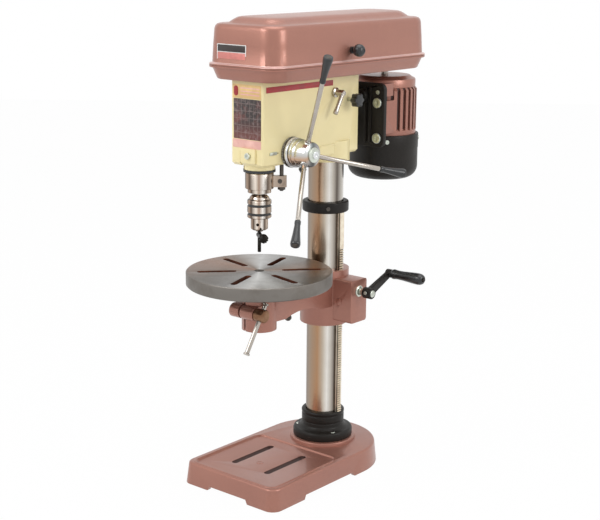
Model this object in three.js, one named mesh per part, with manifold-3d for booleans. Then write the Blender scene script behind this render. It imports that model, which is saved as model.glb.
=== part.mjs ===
// Benchtop drill press, millimetres, +Z up, front towards -Y, feed handles on +X.
// The column axis is the vertical line through the origin while the pieces are
// built; the finished machine is then moved so that its footprint is centred.

import * as THREE from 'three';
import { mergeVertices } from 'three/addons/utils/BufferGeometryUtils.js';
import Module from 'manifold-3d';

const wasm = await Module();
wasm.setup();

// Counts and angles

const roundSteps = 24;
const tableSteps = 36;
const smallSteps = 12;
const pulleySteps = 12;
const cornerSteps = 3;
const fullTurn = Math.PI * 2;
const quarterTurn = Math.PI / 2;
const degree = Math.PI / 180;

// Fits

const fit = 0.3;
const overrun = 2;

// Driving dimensions of the whole machine

const throat = 206;
const columnRadius = 36.5;
const columnWall = 5.5;
const columnGap = 18;
const daylight = 38;
const headUnderside = 662;
const headDepth = 164;
const feedAxisBack = 46;
const feedAxisRise = 23;
const quillRadius = 23;
const quillTravel = 60;
const spindleRadius = 8.5;

// Base casting

const base = {
  width: 250, front: 303, rearCentre: 15, height: 45, draft: 4, edge: 5, corner: 22,
  wall: 9, deck: 12, reliefHeight: 9, reliefSlope: 13, frontRelief: 114, sideRelief: 169,
  sideReliefCentre: 127, padRadius: 70, padHeight: 7, slotOffset: 44, slotLength: 124,
  slotWidth: 14, slotCentre: 175, trayInset: 17, trayDepth: 3, trayRear: 84, trayCorner: 14,
};

// Column, its foot and its rack

const foot = {
  radius: 63, rimHeight: 18, shoulder: 4, neckRadius: 45, flareTop: 27, height: 58, lip: 3,
};
const collar = { radius: 48, height: 22, bevel: 4, drop: 121 };
const rackBar = {
  depth: 8, width: 12, toothPitch: 5, toothDepth: 3, plainLength: 70.7, seat: 0.5,
};

// Table and its bracket

const table = {
  columnGap: 24.5, rim: 26.6, rimWall: 9, plate: 11, edge: 2, boreRadius: 9, stemRadius: 15,
  stemLength: 88, bossRadius: 32, slotRoom: 13, slotMargin: 22, slotWidth: 13, slotCount: 6,
  firstSlotAngle: -13, ribWidth: 6, ribDrop: 9,
};
const bracket = {
  hubWall: 14.2, hubDrop: 2.9, hubHeight: 115, armAtHub: 45, armAtBoss: 30, armDrop: 14.9,
  armDepth: 61, bossWall: 19.7, bossDepth: 91.6, boxWall: 17.1, boxHalfWidth: 26, boxDrop: 13,
  boxRise: 12, boxEdge: 5, earLeft: 34, earRight: 27, earHeight: 28, archSpan: 104, archRise: 10, slit: 4,
  slitOffset: 8, lockBossRadius: 13, lockBossLength: 12,
};
const clampScrew = {
  forward: 3, drop: 50.9, shaftRadius: 6, tail: 4, headRadius: 13, headLength: 23, headEdge: 2,
  barRadius: 4.5, barLength: 96, barAngle: 32, ballRadius: 6.5,
};
const lift = {
  drop: 39.9, wormRadius: 9, wormLength: 25, wormGap: 3, journalRadius: 7.5, shaftProud: 1,
  gearRadius: 14, gearTooth: 3, gearToothCount: 14, gearWidth: 12, pinRadius: 5, cavity: 0.9,
  hubGap: 15, hubLength: 20, hubRadius: 11.5, armInset: 5, armThickness: 10, armBack: 70,
  armRise: 29, armEndRadius: 8, armWaist: 6, gripPinRadius: 4, gripLength: 78, gripRadius: 12,
};
const columnLock = {
  drop: 72.9, shaftRadius: 5, proud: 13, rodRadius: 4, rodLength: 66, ballRadius: 8,
  leanAngle: 25,
};

// Head casting

const head = {
  halfWidth: 41.3, nose: 36, rear: 54, corner: 5, edge: 5, columnBossWall: 11.7,
  columnBossRise: 28, bossDrop: 14, quillBossWall: 7.7, slitWidth: 4, slitOffset: 16,
  slitRise: 28,
};

// Belt cover: the pan below and the lid above

const cover = {
  halfWidth: 94.5, nose: 13, tail: 13, frontCorner: 40, rearCorner: 48, flange: 4, sheet: 3,
  panInset: 11.5, wallInset: 4.5, panDepth: 26, lidHeight: 79, shoulderInset: 11,
  shoulderEdge: 5, ledgeInset: 28, panelInset: 46, panelRise: 12, crownShare: 0.8, crown: 2.5,
  spindleHoleRadius: 27, motorHoleRadius: 15,
};
const hinge = {
  gap: 0.5, knuckleRadius: 6, pinRadius: 2.5, knuckle: 26, play: 0.5, frontPlace: -140,
  rearPlace: 110,
};
const lidKnob = {
  along: -36, rise: 25, stemRadius: 4, stem: 8, ballRadius: 12.5, collarRadius: 7,
};

// Pulleys and belts

const pulley = {
  footRise: 10, groove: 9, web: 5, rise: 6, beltGap: 0.5, beltThickness: 5, sleeveInset: 3,
  sleeveGap: 6, idlerBack: -30, idlerPin: 6, idlerPinProud: 3, armThickness: 4, armRadius: 15,
  pivotAside: 46, pivotForward: 48, pivotRadius: 10,
};
const spindleRadii = [28, 34, 40, 45];
const idlerRadii = [50, 42, 34, 26];
const motorRadii = [26, 22, 18, 14];
const frontBeltCount = 2;
const rearBeltCount = 0;

// Motor and its mount

const motor = {
  frameRadius: 70, finDepth: 5, finCount: 20, drop: 18, bellHeight: 13, frameHeight: 111,
  bellRadius: 55, footHalfWidth: 58, footRise: 8, footHeight: 68, shaftRadius: 8, shaftProud: 8,
  shaftGap: 12, coverSpare: 5, coverDepth: 96, coverRound: 26, coverSheet: 3, lipWidth: 8,
  ventCount: 6, ventInner: 20, ventOuter: 44, ventWidth: 7, fanRadius: 58, fanHub: 16,
  fanHeight: 22, fanRise: 52, bladeCount: 6, bladeThickness: 3, boxWidth: 30, boxDepth: 74,
  boxHeight: 62, boxRise: 32, boxEdge: 5,
};
const mount = {
  slideRoom: 24, standOff: 24.7, thickness: 10, halfWidth: 78, bottomDrop: 16, height: 132, corner: 12,
  barRadius: 9, barOffset: 24, barDrop: 28, barReach: 60, bossRadius: 15, bossLength: 12,
  boreSpare: 14,
};
const tensionLever = {
  forward: 27, rise: 18, shaftRadius: 6, shaftRoot: 20, proud: 24.7, rodRadius: 4.5,
  rodLength: 46, leanAngle: 30, boreRadius: 2.2, boreDepth: 6,
};
const tensionKnob = {
  back: 18, studRadius: 4, knobGap: 14.7, knobLength: 16, knobRadius: 14, lobeCount: 6,
  lobeDepth: 3,
};

// Feed hub, dial and handles

const feed = {
  pinionTooth: 3.5, pinionToothCount: 18, pinionHalfWidth: 12, journalRadius: 11, cavity: 0.6,
  dialRadius: 30, dialThickness: 13, dialEdge: 3, hubGap: 1.4, hubLength: 41, hubRadius: 24,
  hubNeck: 28.5, neckLength: 4, hubEdge: 3, capRadius: 15, capThickness: 4, handleCount: 3,
  rodRise: 21, coneAngle: 25.5, firstRodAngle: -15, rodRadius: 4.6, rodEnd: 166,
  gripLength: 57.7, gripRoot: 6, gripWaist: 5.4, gripHead: 9.5, gripCrown: 6,
  springRadius: 36, springDepth: 25, springEdge: 4,
};

// Quill, spindle and chuck

const quill = {
  nose: 8, topGap: 25.7, boreSpare: 0.9, toothDepth: 2, toothPitch: 7.8, toothSpare: 30,
};
const stopCollar = {
  gap: 1.5, height: 31.5, wall: 4.7, earAngle: 40, earLength: 25, earWidth: 14, earRise: 3,
  earHeight: 22, rodOut: 15, rodRadius: 4, rodDrop: 5,
};
const chuck = {
  gap: 4, coneRadius: 14, shoulderRadius: 20, shoulderDepth: 10, sleeveLength: 36,
  sleeveWall: 8.4, coreWall: 2.5, noseWall: 4.5, noseLength: 24, noseBevel: 2,
  cavityRadius: 12.5, cavityDepth: 42, ringDepth: 1.4, ringHeight: 5, ringRise: 6,
  ringPitch: 17, ringCount: 2, spindleNose: 11.4, keyHoleRadius: 3,
};
const jaw = { count: 3, proud: 4, gap: 2.9, width: 5, tip: 5, play: 0.3 };
const chuckKey = {
  barRadius: 3.5, topGap: 4, barLength: 83.5, bodyDrop: 11.5, bodyRadius: 5.2, bodyLength: 44,
  headRadius: 9, headLength: 12, headToothCount: 10, headTooth: 2, headingAngle: -35,
};

// Switch on the left side of the head

const switchBox = { depth: 30, length: 52, height: 66, forward: 170, drop: 18, edge: 4 };
const button = { radius: 9, height: 7, pocket: 6, spacing: 30 };

// Places worked out from the sizes above: the stand

const spindleY = -throat;
const columnFootZ = base.height + base.padHeight;
const collarLowZ = headUnderside - collar.drop;
const rackTopZ = collarLowZ - fit;
const rackBottomZ = columnFootZ + foot.height + fit;
const rackInner = columnRadius + rackBar.seat;
const rackOuter = rackInner + rackBar.depth;

// The head and the belt cover

const panUnderside = headUnderside + headDepth;
const headTopZ = panUnderside - fit;
const bossUnderside = headUnderside - head.bossDrop;
const feedY = spindleY + feedAxisBack;
const feedZ = headUnderside + feedAxisRise;
const pinionRadius = feedAxisBack - quillRadius - fit;
const seamZ = panUnderside + cover.panDepth;
const shoulderZ = seamZ + cover.lidHeight;
const panelZ = shoulderZ + cover.panelRise;
const pulleyFootZ = panUnderside + pulley.footRise;
const levelPitch = pulley.groove + pulley.web;
const coverFrontY = spindleY - spindleRadii.at(-1) - pulley.rise - cover.nose;

// The motor and what holds it

const bellTopZ = panUnderside - motor.drop;
const frameTopZ = bellTopZ - motor.bellHeight;
const frameLowZ = frameTopZ - motor.frameHeight;
const coverLowZ = frameLowZ - motor.coverDepth;
const fanLowZ = coverLowZ + motor.fanRise;
const mountLowZ = frameLowZ - mount.bottomDrop;
const barZ = mountLowZ + mount.height - mount.barDrop;
const columnTopZ = barZ - mount.barRadius - columnGap;
const mountFrontY = head.rear + mount.slideRoom + mount.bossLength;
const mountRearY = mountFrontY + mount.thickness;
const motorAxisBack = mountRearY + fit + mount.standOff + motor.frameRadius;
const coverRearY = motorAxisBack + motorRadii[0] + pulley.rise + cover.tail;

// The feed hub, the quill and the chuck

const hubStart = head.halfWidth + fit + feed.dialThickness + feed.hubGap;
const hubEnd = hubStart + feed.hubLength;
const collarTopZ = bossUnderside - stopCollar.gap;
const stopLowZ = collarTopZ - stopCollar.height;
const stopRadius = quillRadius + fit + stopCollar.wall;
const stopRodReach = stopRadius + stopCollar.rodOut;
const quillLowZ = stopLowZ - quill.nose;
const quillTopZ = headTopZ - quill.topGap;
const chuckTopZ = quillLowZ - chuck.gap;
const sleeveTopZ = chuckTopZ - chuck.shoulderDepth;
const sleeveLowZ = sleeveTopZ - chuck.sleeveLength;
const noseLowZ = sleeveLowZ - chuck.noseLength;
const cavityTopZ = noseLowZ + chuck.cavityDepth;
const coreRadius = chuck.cavityRadius + chuck.coreWall;
const noseRadius = chuck.cavityRadius + chuck.noseWall;
const sleeveRadius = coreRadius + fit + chuck.sleeveWall;
const keyTopZ = cavityTopZ - chuckKey.topGap;
const keyLowZ = keyTopZ - chuckKey.barLength;

// The table bracket and its lift

const tableRadius = throat - columnRadius - table.columnGap;
const tableTopZ = keyLowZ - daylight;
const tableUnderZ = tableTopZ - table.rim;
const hubTopZ = tableUnderZ - bracket.hubDrop;
const hubBottomZ = hubTopZ - bracket.hubHeight;
const bossTopZ = tableUnderZ - fit;
const bossBottomZ = bossTopZ - bracket.bossDepth;
const hubOuter = columnRadius + fit + bracket.hubWall;
const clampZ = tableUnderZ - clampScrew.drop;
const bossRadius = table.stemRadius + fit + bracket.bossWall;
const clampY = spindleY - bossRadius - clampScrew.forward;
const liftZ = tableUnderZ - lift.drop;
const lockZ = tableUnderZ - columnLock.drop;
const wormStart = rackOuter + lift.wormGap;
const wormEnd = wormStart + lift.wormLength;
const boxOuter = wormEnd + lift.cavity + bracket.boxWall;
const crankStart = boxOuter + lift.hubGap;
const crankArmStart = crankStart + lift.armInset;
const crankArmEnd = crankArmStart + lift.armThickness;
const gearX = rackOuter + fit + lift.gearRadius;
const gearZ = liftZ - lift.wormRadius - lift.gearRadius - fit;

// Materials

const paint = { rose: 0x8f5f55, cream: 0xe6d49a, black: 0x1b1c1d, grey: 0x7d7770 };
const metal = { chrome: 0xd8dbdd, steel: 0xb4b2ac, dark: 0x3a3733, zinc: 0xc6cdbf };

function painted(color) {
  return new THREE.MeshStandardMaterial({ color, roughness: 0.42, metalness: 0.15 });
}

function bare(color, roughness) {
  return new THREE.MeshStandardMaterial({ color, roughness, metalness: 1 });
}

function plastic(color) {
  return new THREE.MeshStandardMaterial({ color, roughness: 0.5, metalness: 0 });
}

const roseEnamel = painted(paint.rose);
const creamEnamel = painted(paint.cream);
const blackEnamel = painted(paint.black);
const machinedIron = bare(paint.grey, 0.5);
const chromed = bare(metal.chrome, 0.15);
const groundSteel = bare(metal.steel, 0.28);
const darkSteel = bare(metal.dark, 0.5);
const zincSteel = bare(metal.zinc, 0.4);
const blackPlastic = plastic(0x161616);
const rubber = plastic(0x202020);
const greenPlastic = plastic(0x1f8a3c);
const redPlastic = plastic(0xc22420);

// Solids and booleans

function toSolid(geometry) {
  const bareGeometry = geometry.clone();
  bareGeometry.deleteAttribute('normal');
  bareGeometry.deleteAttribute('uv');
  const merged = mergeVertices(bareGeometry, 1e-4);
  return new wasm.Manifold(new wasm.Mesh({
    numProp: 3,
    vertProperties: new Float32Array(merged.attributes.position.array),
    triVerts: new Uint32Array(merged.index.array),
  }));
}

function toGeometry(solid) {
  const result = solid.getMesh();
  const geometry = new THREE.BufferGeometry();
  geometry.setAttribute('position', new THREE.BufferAttribute(result.vertProperties, result.numProp));
  geometry.setIndex(new THREE.BufferAttribute(result.triVerts, 1));
  const flat = geometry.toNonIndexed();
  flat.computeVertexNormals();
  return flat;
}

function join(...geometries) {
  return toGeometry(geometries.map(toSolid).reduce((whole, piece) => whole.add(piece)));
}

function cut(geometry, ...tools) {
  return toGeometry(tools.map(toSolid).reduce((whole, tool) => whole.subtract(tool), toSolid(geometry)));
}

// Basic forms

// A box from its low corner to its high corner.
function block(lowX, highX, lowY, highY, lowZ, highZ) {
  const geometry = new THREE.BoxGeometry(highX - lowX, highY - lowY, highZ - lowZ);
  return geometry.translate((lowX + highX) / 2, (lowY + highY) / 2, (lowZ + highZ) / 2);
}

// An upright cylinder between two heights.
function post(radius, lowZ, highZ, x = 0, y = 0, steps = roundSteps) {
  const geometry = new THREE.CylinderGeometry(radius, radius, highZ - lowZ, steps);
  return geometry.rotateX(quarterTurn).translate(x, y, (lowZ + highZ) / 2);
}

// A cylinder along X between two stations.
function shaftX(radius, lowX, highX, y, z, steps = smallSteps) {
  const geometry = new THREE.CylinderGeometry(radius, radius, highX - lowX, steps);
  return geometry.rotateZ(-quarterTurn).translate((lowX + highX) / 2, y, z);
}

// A cylinder along Y between two stations.
function shaftY(radius, lowY, highY, x, z, steps = smallSteps) {
  const geometry = new THREE.CylinderGeometry(radius, radius, highY - lowY, steps);
  return geometry.translate(x, (lowY + highY) / 2, z);
}

// A cylinder between any two points.
function strut(from, to, radius, steps = smallSteps) {
  const start = new THREE.Vector3(...from);
  const along = new THREE.Vector3(...to).sub(start);
  const geometry = new THREE.CylinderGeometry(radius, radius, along.length(), steps);
  const heading = along.clone().normalize();
  const facing = new THREE.Quaternion().setFromUnitVectors(new THREE.Vector3(0, 1, 0), heading);
  return geometry.applyQuaternion(facing).translate(...start.addScaledVector(along, 0.5).toArray());
}

function ball(radius, x, y, z, steps = smallSteps) {
  return new THREE.SphereGeometry(radius, steps, steps / 2).translate(x, y, z);
}

// A form turned about the upright axis from a profile of radius and height pairs.
function turned(profile, steps = roundSteps) {
  const points = profile.map(([radius, height]) => new THREE.Vector2(radius, height));
  return new THREE.LatheGeometry(points, steps).rotateX(quarterTurn);
}

// The same, closed on itself so that it keeps a bore.
function turnedRing(profile, steps = roundSteps) {
  return turned([...profile, profile[0]], steps);
}

// A turned form laid along X: the profile's heights become stations along X.
function turnedX(profile, y, z, steps = smallSteps) {
  return turned(profile, steps).rotateY(quarterTurn).translate(0, y, z);
}

// The radius of a faceted bore whose flats still clear a round shaft.
function clear(radius, steps = smallSteps) {
  return (radius + fit) / Math.cos(Math.PI / steps);
}

// An outline in X and Y raised between two heights.
function prism(outline, lowZ, highZ, holes = []) {
  const shape = new THREE.Shape(outline);
  shape.holes = holes.map((hole) => new THREE.Path(hole));
  const geometry = new THREE.ExtrudeGeometry(shape, { depth: highZ - lowZ, bevelEnabled: false });
  return geometry.translate(0, 0, lowZ);
}

// An outline drawn in Y and Z, run along X.
function prismX(outline, lowX, highX) {
  const turnToX = new THREE.Matrix4().makeBasis(
    new THREE.Vector3(0, 1, 0),
    new THREE.Vector3(0, 0, 1),
    new THREE.Vector3(1, 0, 0),
  );
  return prism(outline, 0, highX - lowX).applyMatrix4(turnToX).translate(lowX, 0, 0);
}

// An outline drawn in X and Z, run along Y.
function prismY(outline, lowY, highY) {
  return prism(outline, 0, highY - lowY).rotateX(quarterTurn).translate(0, highY, 0);
}

// Points along an arc, both ends included.
function arc(x, y, radius, from, to, steps) {
  return Array.from({ length: steps + 1 }, (_, step) => {
    const angle = from + ((to - from) * step) / steps;
    return new THREE.Vector2(x + radius * Math.cos(angle), y + radius * Math.sin(angle));
  });
}

// A rectangle with one corner radius in front and another behind.
function roundedOutline(halfWidth, front, rear, frontCorner, rearCorner = frontCorner) {
  const frontX = halfWidth - frontCorner;
  const frontY = front + frontCorner;
  const rearX = halfWidth - rearCorner;
  const rearY = rear - rearCorner;
  return [
    ...arc(frontX, frontY, frontCorner, -quarterTurn, 0, cornerSteps),
    ...arc(rearX, rearY, rearCorner, 0, quarterTurn, cornerSteps),
    ...arc(-rearX, rearY, rearCorner, quarterTurn, 2 * quarterTurn, cornerSteps),
    ...arc(-frontX, frontY, frontCorner, 2 * quarterTurn, 3 * quarterTurn, cornerSteps),
  ];
}

// The band that would run round two circles, like a slot or a link.
function bandOutline(start, startRadius, end, endRadius, steps = smallSteps / 2) {
  const heading = Math.atan2(end[1] - start[1], end[0] - start[0]);
  const distance = Math.hypot(end[0] - start[0], end[1] - start[1]);
  const open = Math.acos((startRadius - endRadius) / distance);
  return [
    ...arc(...start, startRadius, heading + open, heading + fullTurn - open, steps),
    ...arc(...end, endRadius, heading - open, heading + open, steps),
  ];
}

// A toothed wheel outline, teeth tapering to their tips.
function gearOutline(tipRadius, rootRadius, teeth, phase = 0) {
  const toothShares = [[0.06, 0], [0.44, 0], [0.6, 1], [0.9, 1]];
  return Array.from({ length: teeth }, (_, tooth) => toothShares.map(([around, up]) => {
    const angle = phase + ((tooth + around) * fullTurn) / teeth;
    const radius = rootRadius + (tipRadius - rootRadius) * up;
    return new THREE.Vector2(radius * Math.cos(angle), radius * Math.sin(angle));
  })).flat();
}

// Walls between stacked rings of points, capped at both ends.
function loft(rings) {
  const count = rings[0].outline.length;
  const positions = rings.flatMap((ring) => ring.outline.flatMap((point) => [point.x, point.y, ring.z]));
  const index = [];
  for (let level = 0; level < rings.length - 1; level += 1) {
    for (let step = 0; step < count; step += 1) {
      const next = (step + 1) % count;
      const low = level * count;
      const high = low + count;
      index.push(low + step, low + next, high + next, low + step, high + next, high + step);
    }
  }
  const top = (rings.length - 1) * count;
  for (const [a, b, c] of THREE.ShapeUtils.triangulateShape(rings[0].outline, [])) {
    index.push(c, b, a);
  }
  for (const [a, b, c] of THREE.ShapeUtils.triangulateShape(rings.at(-1).outline, [])) {
    index.push(top + a, top + b, top + c);
  }
  const geometry = new THREE.BufferGeometry();
  geometry.setAttribute('position', new THREE.Float32BufferAttribute(positions, 3));
  geometry.setIndex(index);
  const flat = geometry.toNonIndexed();
  flat.computeVertexNormals();
  return flat;
}

// Base casting

function baseOutline(inset) {
  const half = base.width / 2 - inset;
  const corner = Math.max(base.corner - inset, fit);
  const front = inset - base.front;
  return [
    ...arc(half - corner, front + corner, corner, -quarterTurn, 0, cornerSteps),
    ...arc(0, -base.rearCentre, half, 0, 2 * quarterTurn, smallSteps),
    ...arc(corner - half, front + corner, corner, 2 * quarterTurn, 3 * quarterTurn, cornerSteps),
  ];
}

// The low relief between two feet, drawn on the ground line with sloping ends.
function reliefOutline(centre, span) {
  const half = span / 2;
  const crown = half - base.reliefSlope;
  return [
    new THREE.Vector2(centre + half, -overrun),
    new THREE.Vector2(centre + half, 0),
    new THREE.Vector2(centre + crown, base.reliefHeight),
    new THREE.Vector2(centre - crown, base.reliefHeight),
    new THREE.Vector2(centre - half, 0),
    new THREE.Vector2(centre - half, -overrun),
  ];
}

function trayOutline() {
  const half = base.width / 2 - base.draft - base.trayInset;
  return roundedOutline(half, base.trayInset - base.front, -base.trayRear, base.trayCorner);
}

function makeBase() {
  const shell = loft([
    { outline: baseOutline(0), z: 0 },
    { outline: baseOutline(base.draft), z: base.height - base.edge },
    { outline: baseOutline(base.draft + base.edge), z: base.height },
  ]);
  const pad = post(base.padRadius, base.height - base.deck, base.height + base.padHeight);
  const hollow = loft([
    { outline: baseOutline(base.wall), z: -overrun },
    { outline: baseOutline(base.wall + base.draft), z: base.height - base.deck },
  ]);
  const frontRelief = prismY(reliefOutline(0, base.frontRelief), -base.front - overrun, base.rearCentre);
  const half = base.width / 2 + overrun;
  const sideRelief = prismX(reliefOutline(-base.sideReliefCentre, base.sideRelief), -half, half);
  const tray = prism(trayOutline(), base.height - base.trayDepth, base.height + overrun);
  const slots = [-base.slotOffset, base.slotOffset].map((x) => {
    const reach = (base.slotLength - base.slotWidth) / 2;
    const ends = [[x, -base.slotCentre - reach], [x, -base.slotCentre + reach]];
    const outline = bandOutline(ends[0], base.slotWidth / 2, ends[1], base.slotWidth / 2);
    return prism(outline, 0, base.height + overrun);
  });
  return cut(join(shell, pad), hollow, frontRelief, sideRelief, tray, ...slots);
}

// Column foot, column and rack

function makeColumnFlange() {
  const bore = clear(columnRadius, roundSteps);
  const low = columnFootZ + fit;
  const flare = Array.from({ length: cornerSteps + 1 }, (_, step) => {
    const angle = (quarterTurn * step) / cornerSteps;
    const width = foot.radius - foot.shoulder - foot.neckRadius;
    const rise = foot.flareTop - foot.rimHeight;
    return [
      foot.neckRadius + width * (1 - Math.sin(angle)),
      columnFootZ + foot.rimHeight + rise * (1 - Math.cos(angle)),
    ];
  });
  return turnedRing([
    [bore, low],
    [foot.radius, low],
    [foot.radius, columnFootZ + foot.rimHeight - foot.shoulder],
    ...flare,
    [foot.neckRadius, columnFootZ + foot.height - foot.lip],
    [foot.neckRadius - foot.lip, columnFootZ + foot.height],
    [bore, columnFootZ + foot.height],
  ]);
}

function makeColumn() {
  const low = columnFootZ + fit;
  const inner = columnRadius - columnWall;
  return turnedRing([[inner, low], [columnRadius, low], [columnRadius, columnTopZ], [inner, columnTopZ]]);
}

function makeRackCollar() {
  const bore = clear(columnRadius, roundSteps);
  const top = collarLowZ + collar.height;
  return turnedRing([
    [bore, collarLowZ],
    [collar.radius - collar.bevel, collarLowZ],
    [collar.radius, collarLowZ + collar.bevel],
    [collar.radius, top - collar.bevel],
    [collar.radius - collar.bevel, top],
    [bore, top],
  ]);
}

// The rack: plain above, toothed on its outer face below.
function makeRack() {
  const toothShares = [[0.15, 0], [0.5, 1], [0.85, 0]];
  const count = Math.floor((rackTopZ - rackBar.plainLength - rackBottomZ) / rackBar.toothPitch);
  const makeTooth = (tooth) => toothShares.map(([up, inward]) => new THREE.Vector2(
    rackOuter - rackBar.toothDepth * inward,
    rackBottomZ + (tooth + up) * rackBar.toothPitch,
  ));
  const teeth = Array.from({ length: count }, (_, tooth) => makeTooth(tooth)).flat();
  const outline = [
    new THREE.Vector2(rackInner, rackBottomZ),
    new THREE.Vector2(rackOuter, rackBottomZ),
    ...teeth,
    new THREE.Vector2(rackOuter, rackTopZ),
    new THREE.Vector2(rackInner, rackTopZ),
  ];
  return prismY(outline, -rackBar.width / 2, rackBar.width / 2);
}

// Table and bracket

function makeTable() {
  const plateUnder = tableTopZ - table.plate;
  const stemEnd = tableUnderZ - table.stemLength;
  const disc = turnedRing([
    [table.boreRadius, stemEnd],
    [table.stemRadius, stemEnd],
    [table.stemRadius, tableUnderZ],
    [table.bossRadius, tableUnderZ],
    [table.bossRadius, plateUnder],
    [tableRadius - table.rimWall, plateUnder],
    [tableRadius - table.rimWall, tableUnderZ],
    [tableRadius - table.edge, tableUnderZ],
    [tableRadius, tableUnderZ + table.edge],
    [tableRadius, tableTopZ - table.edge],
    [tableRadius - table.edge, tableTopZ],
    [table.boreRadius, tableTopZ],
  ], tableSteps);
  const spacing = fullTurn / table.slotCount;
  const ribs = [];
  const slots = [];
  for (let count = 0; count < table.slotCount; count += 1) {
    const angle = table.firstSlotAngle * degree + count * spacing;
    const half = table.slotWidth / 2;
    const near = [table.bossRadius + table.slotRoom + half, 0];
    const far = [tableRadius - table.slotMargin - half, 0];
    const outline = bandOutline(near, half, far, half, cornerSteps);
    slots.push(prism(outline, tableUnderZ, tableTopZ + overrun).rotateZ(angle));
    const ribEnd = tableRadius - table.rimWall / 2;
    const ribStart = table.bossRadius - overrun;
    const halfRib = table.ribWidth / 2;
    const rib = block(ribStart, ribEnd, -halfRib, halfRib, plateUnder - table.ribDrop, plateUnder);
    ribs.push(rib.rotateZ(angle + spacing / 2));
  }
  return cut(join(disc, ...ribs), ...slots).translate(0, spindleY, 0);
}

// The shallow arch under the arm, drawn in Y and Z.
function archOutline(centre, low) {
  const half = bracket.archSpan / 2;
  const rise = bracket.archRise;
  const radius = (half * half + rise * rise) / (2 * rise);
  const reach = Math.asin(half / radius);
  return [
    new THREE.Vector2(centre + half, low - overrun),
    ...arc(centre, low + rise - radius, radius, quarterTurn - reach, quarterTurn + reach, smallSteps / 2),
    new THREE.Vector2(centre - half, low - overrun),
  ];
}

function makeTableBracket() {
  const hub = post(hubOuter, hubBottomZ, hubTopZ);
  const boss = post(bossRadius, bossBottomZ, bossTopZ, 0, spindleY);
  const armTop = tableUnderZ - bracket.armDrop;
  const armLow = armTop - bracket.armDepth;
  const arm = prism(
    bandOutline([0, 0], bracket.armAtHub, [0, spindleY], bracket.armAtBoss),
    armLow,
    armTop,
  );
  const boxTop = hubTopZ - bracket.boxDrop;
  const boxLow = hubBottomZ + bracket.boxRise;
  const boxOutline = roundedOutline(
    (boxTop - boxLow) / 2,
    -bracket.boxHalfWidth,
    bracket.boxHalfWidth,
    bracket.boxEdge,
  );
  const boxMiddle = (boxTop + boxLow) / 2;
  const gearBox = prism(boxOutline, columnRadius, boxOuter).rotateY(quarterTurn).translate(0, 0, boxMiddle);
  const earRadius = bracket.earHeight / 2;
  const ears = block(
    -bracket.earLeft,
    bracket.earRight,
    clampY,
    spindleY,
    clampZ - earRadius,
    clampZ + earRadius,
  );
  const earFront = shaftX(earRadius, -bracket.earLeft, bracket.earRight, clampY, clampZ, roundSteps);
  const lockEnd = hubOuter + bracket.lockBossLength;
  const lockBoss = shaftX(bracket.lockBossRadius, -lockEnd, -columnRadius, 0, lockZ);
  const body = join(hub, boss, arm, gearBox, ears, earFront, lockBoss);

  const columnBore = post(clear(columnRadius, roundSteps), hubBottomZ - overrun, hubTopZ + overrun);
  const rackSlot = block(
    0,
    rackOuter + fit,
    -rackBar.width / 2 - fit,
    rackBar.width / 2 + fit,
    hubBottomZ - overrun,
    hubTopZ + overrun,
  );
  const stemBore = post(
    clear(table.stemRadius, roundSteps),
    bossBottomZ - overrun,
    bossTopZ + overrun,
    0,
    spindleY,
  );
  const slit = block(
    -bracket.slitOffset - bracket.slit / 2,
    -bracket.slitOffset + bracket.slit / 2,
    clampY - earRadius - overrun,
    spindleY,
    bossBottomZ - overrun,
    bossTopZ + overrun,
  );
  const clampHole = shaftX(
    clear(clampScrew.shaftRadius),
    -bracket.earLeft - overrun,
    bracket.earRight + overrun,
    clampY,
    clampZ,
  );
  const wormBore = shaftX(
    clear(lift.wormRadius) + lift.cavity,
    rackInner,
    wormEnd + lift.cavity,
    0,
    liftZ,
  );
  const journalBore = shaftX(clear(lift.journalRadius), rackOuter, boxOuter + overrun, 0, liftZ);
  const halfGear = lift.gearWidth / 2 + lift.cavity;
  const gearRoom = clear(lift.gearRadius, roundSteps) + lift.cavity;
  const gearBore = shaftY(gearRoom, -halfGear, halfGear, gearX, gearZ, roundSteps);
  const pinReach = bracket.boxHalfWidth + overrun;
  const pinBore = shaftY(clear(lift.pinRadius), -pinReach, pinReach, gearX, gearZ);
  const lockBore = shaftX(clear(columnLock.shaftRadius), -lockEnd - overrun, -columnRadius, 0, lockZ);
  const archY = (spindleY + bossRadius - hubOuter) / 2;
  const arch = prismX(archOutline(archY, armLow), -hubOuter, hubOuter);
  return cut(
    body, columnBore, rackSlot, stemBore, slit, clampHole, wormBore, journalBore, gearBore, pinBore,
    lockBore, arch,
  );
}

function makeClampScrew() {
  const headStart = bracket.earRight + fit;
  const headEnd = headStart + clampScrew.headLength;
  const shank = clampScrew.shaftRadius;
  const screw = turnedX([
    [0, -bracket.earLeft - clampScrew.tail],
    [shank, -bracket.earLeft - clampScrew.tail],
    [shank, headStart],
    [clampScrew.headRadius, headStart],
    [clampScrew.headRadius, headEnd - clampScrew.headEdge],
    [clampScrew.headRadius - clampScrew.headEdge, headEnd],
    [0, headEnd],
  ], clampY, clampZ);
  return cut(screw, clampBarRod(clear(clampScrew.barRadius), clampScrew.headRadius + overrun));
}

function clampBarCentre() {
  return [bracket.earRight + fit + clampScrew.headLength / 2, clampY, clampZ];
}

// A rod along the tommy bar's line, from a reach above the screw's axis.
function clampBarRod(radius, above, below = above) {
  const [x, y, z] = clampBarCentre();
  const lean = clampScrew.barAngle * degree;
  const place = (distance) => [x, y - distance * Math.sin(lean), z - distance * Math.cos(lean)];
  return strut(place(-above), place(below), radius);
}

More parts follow.
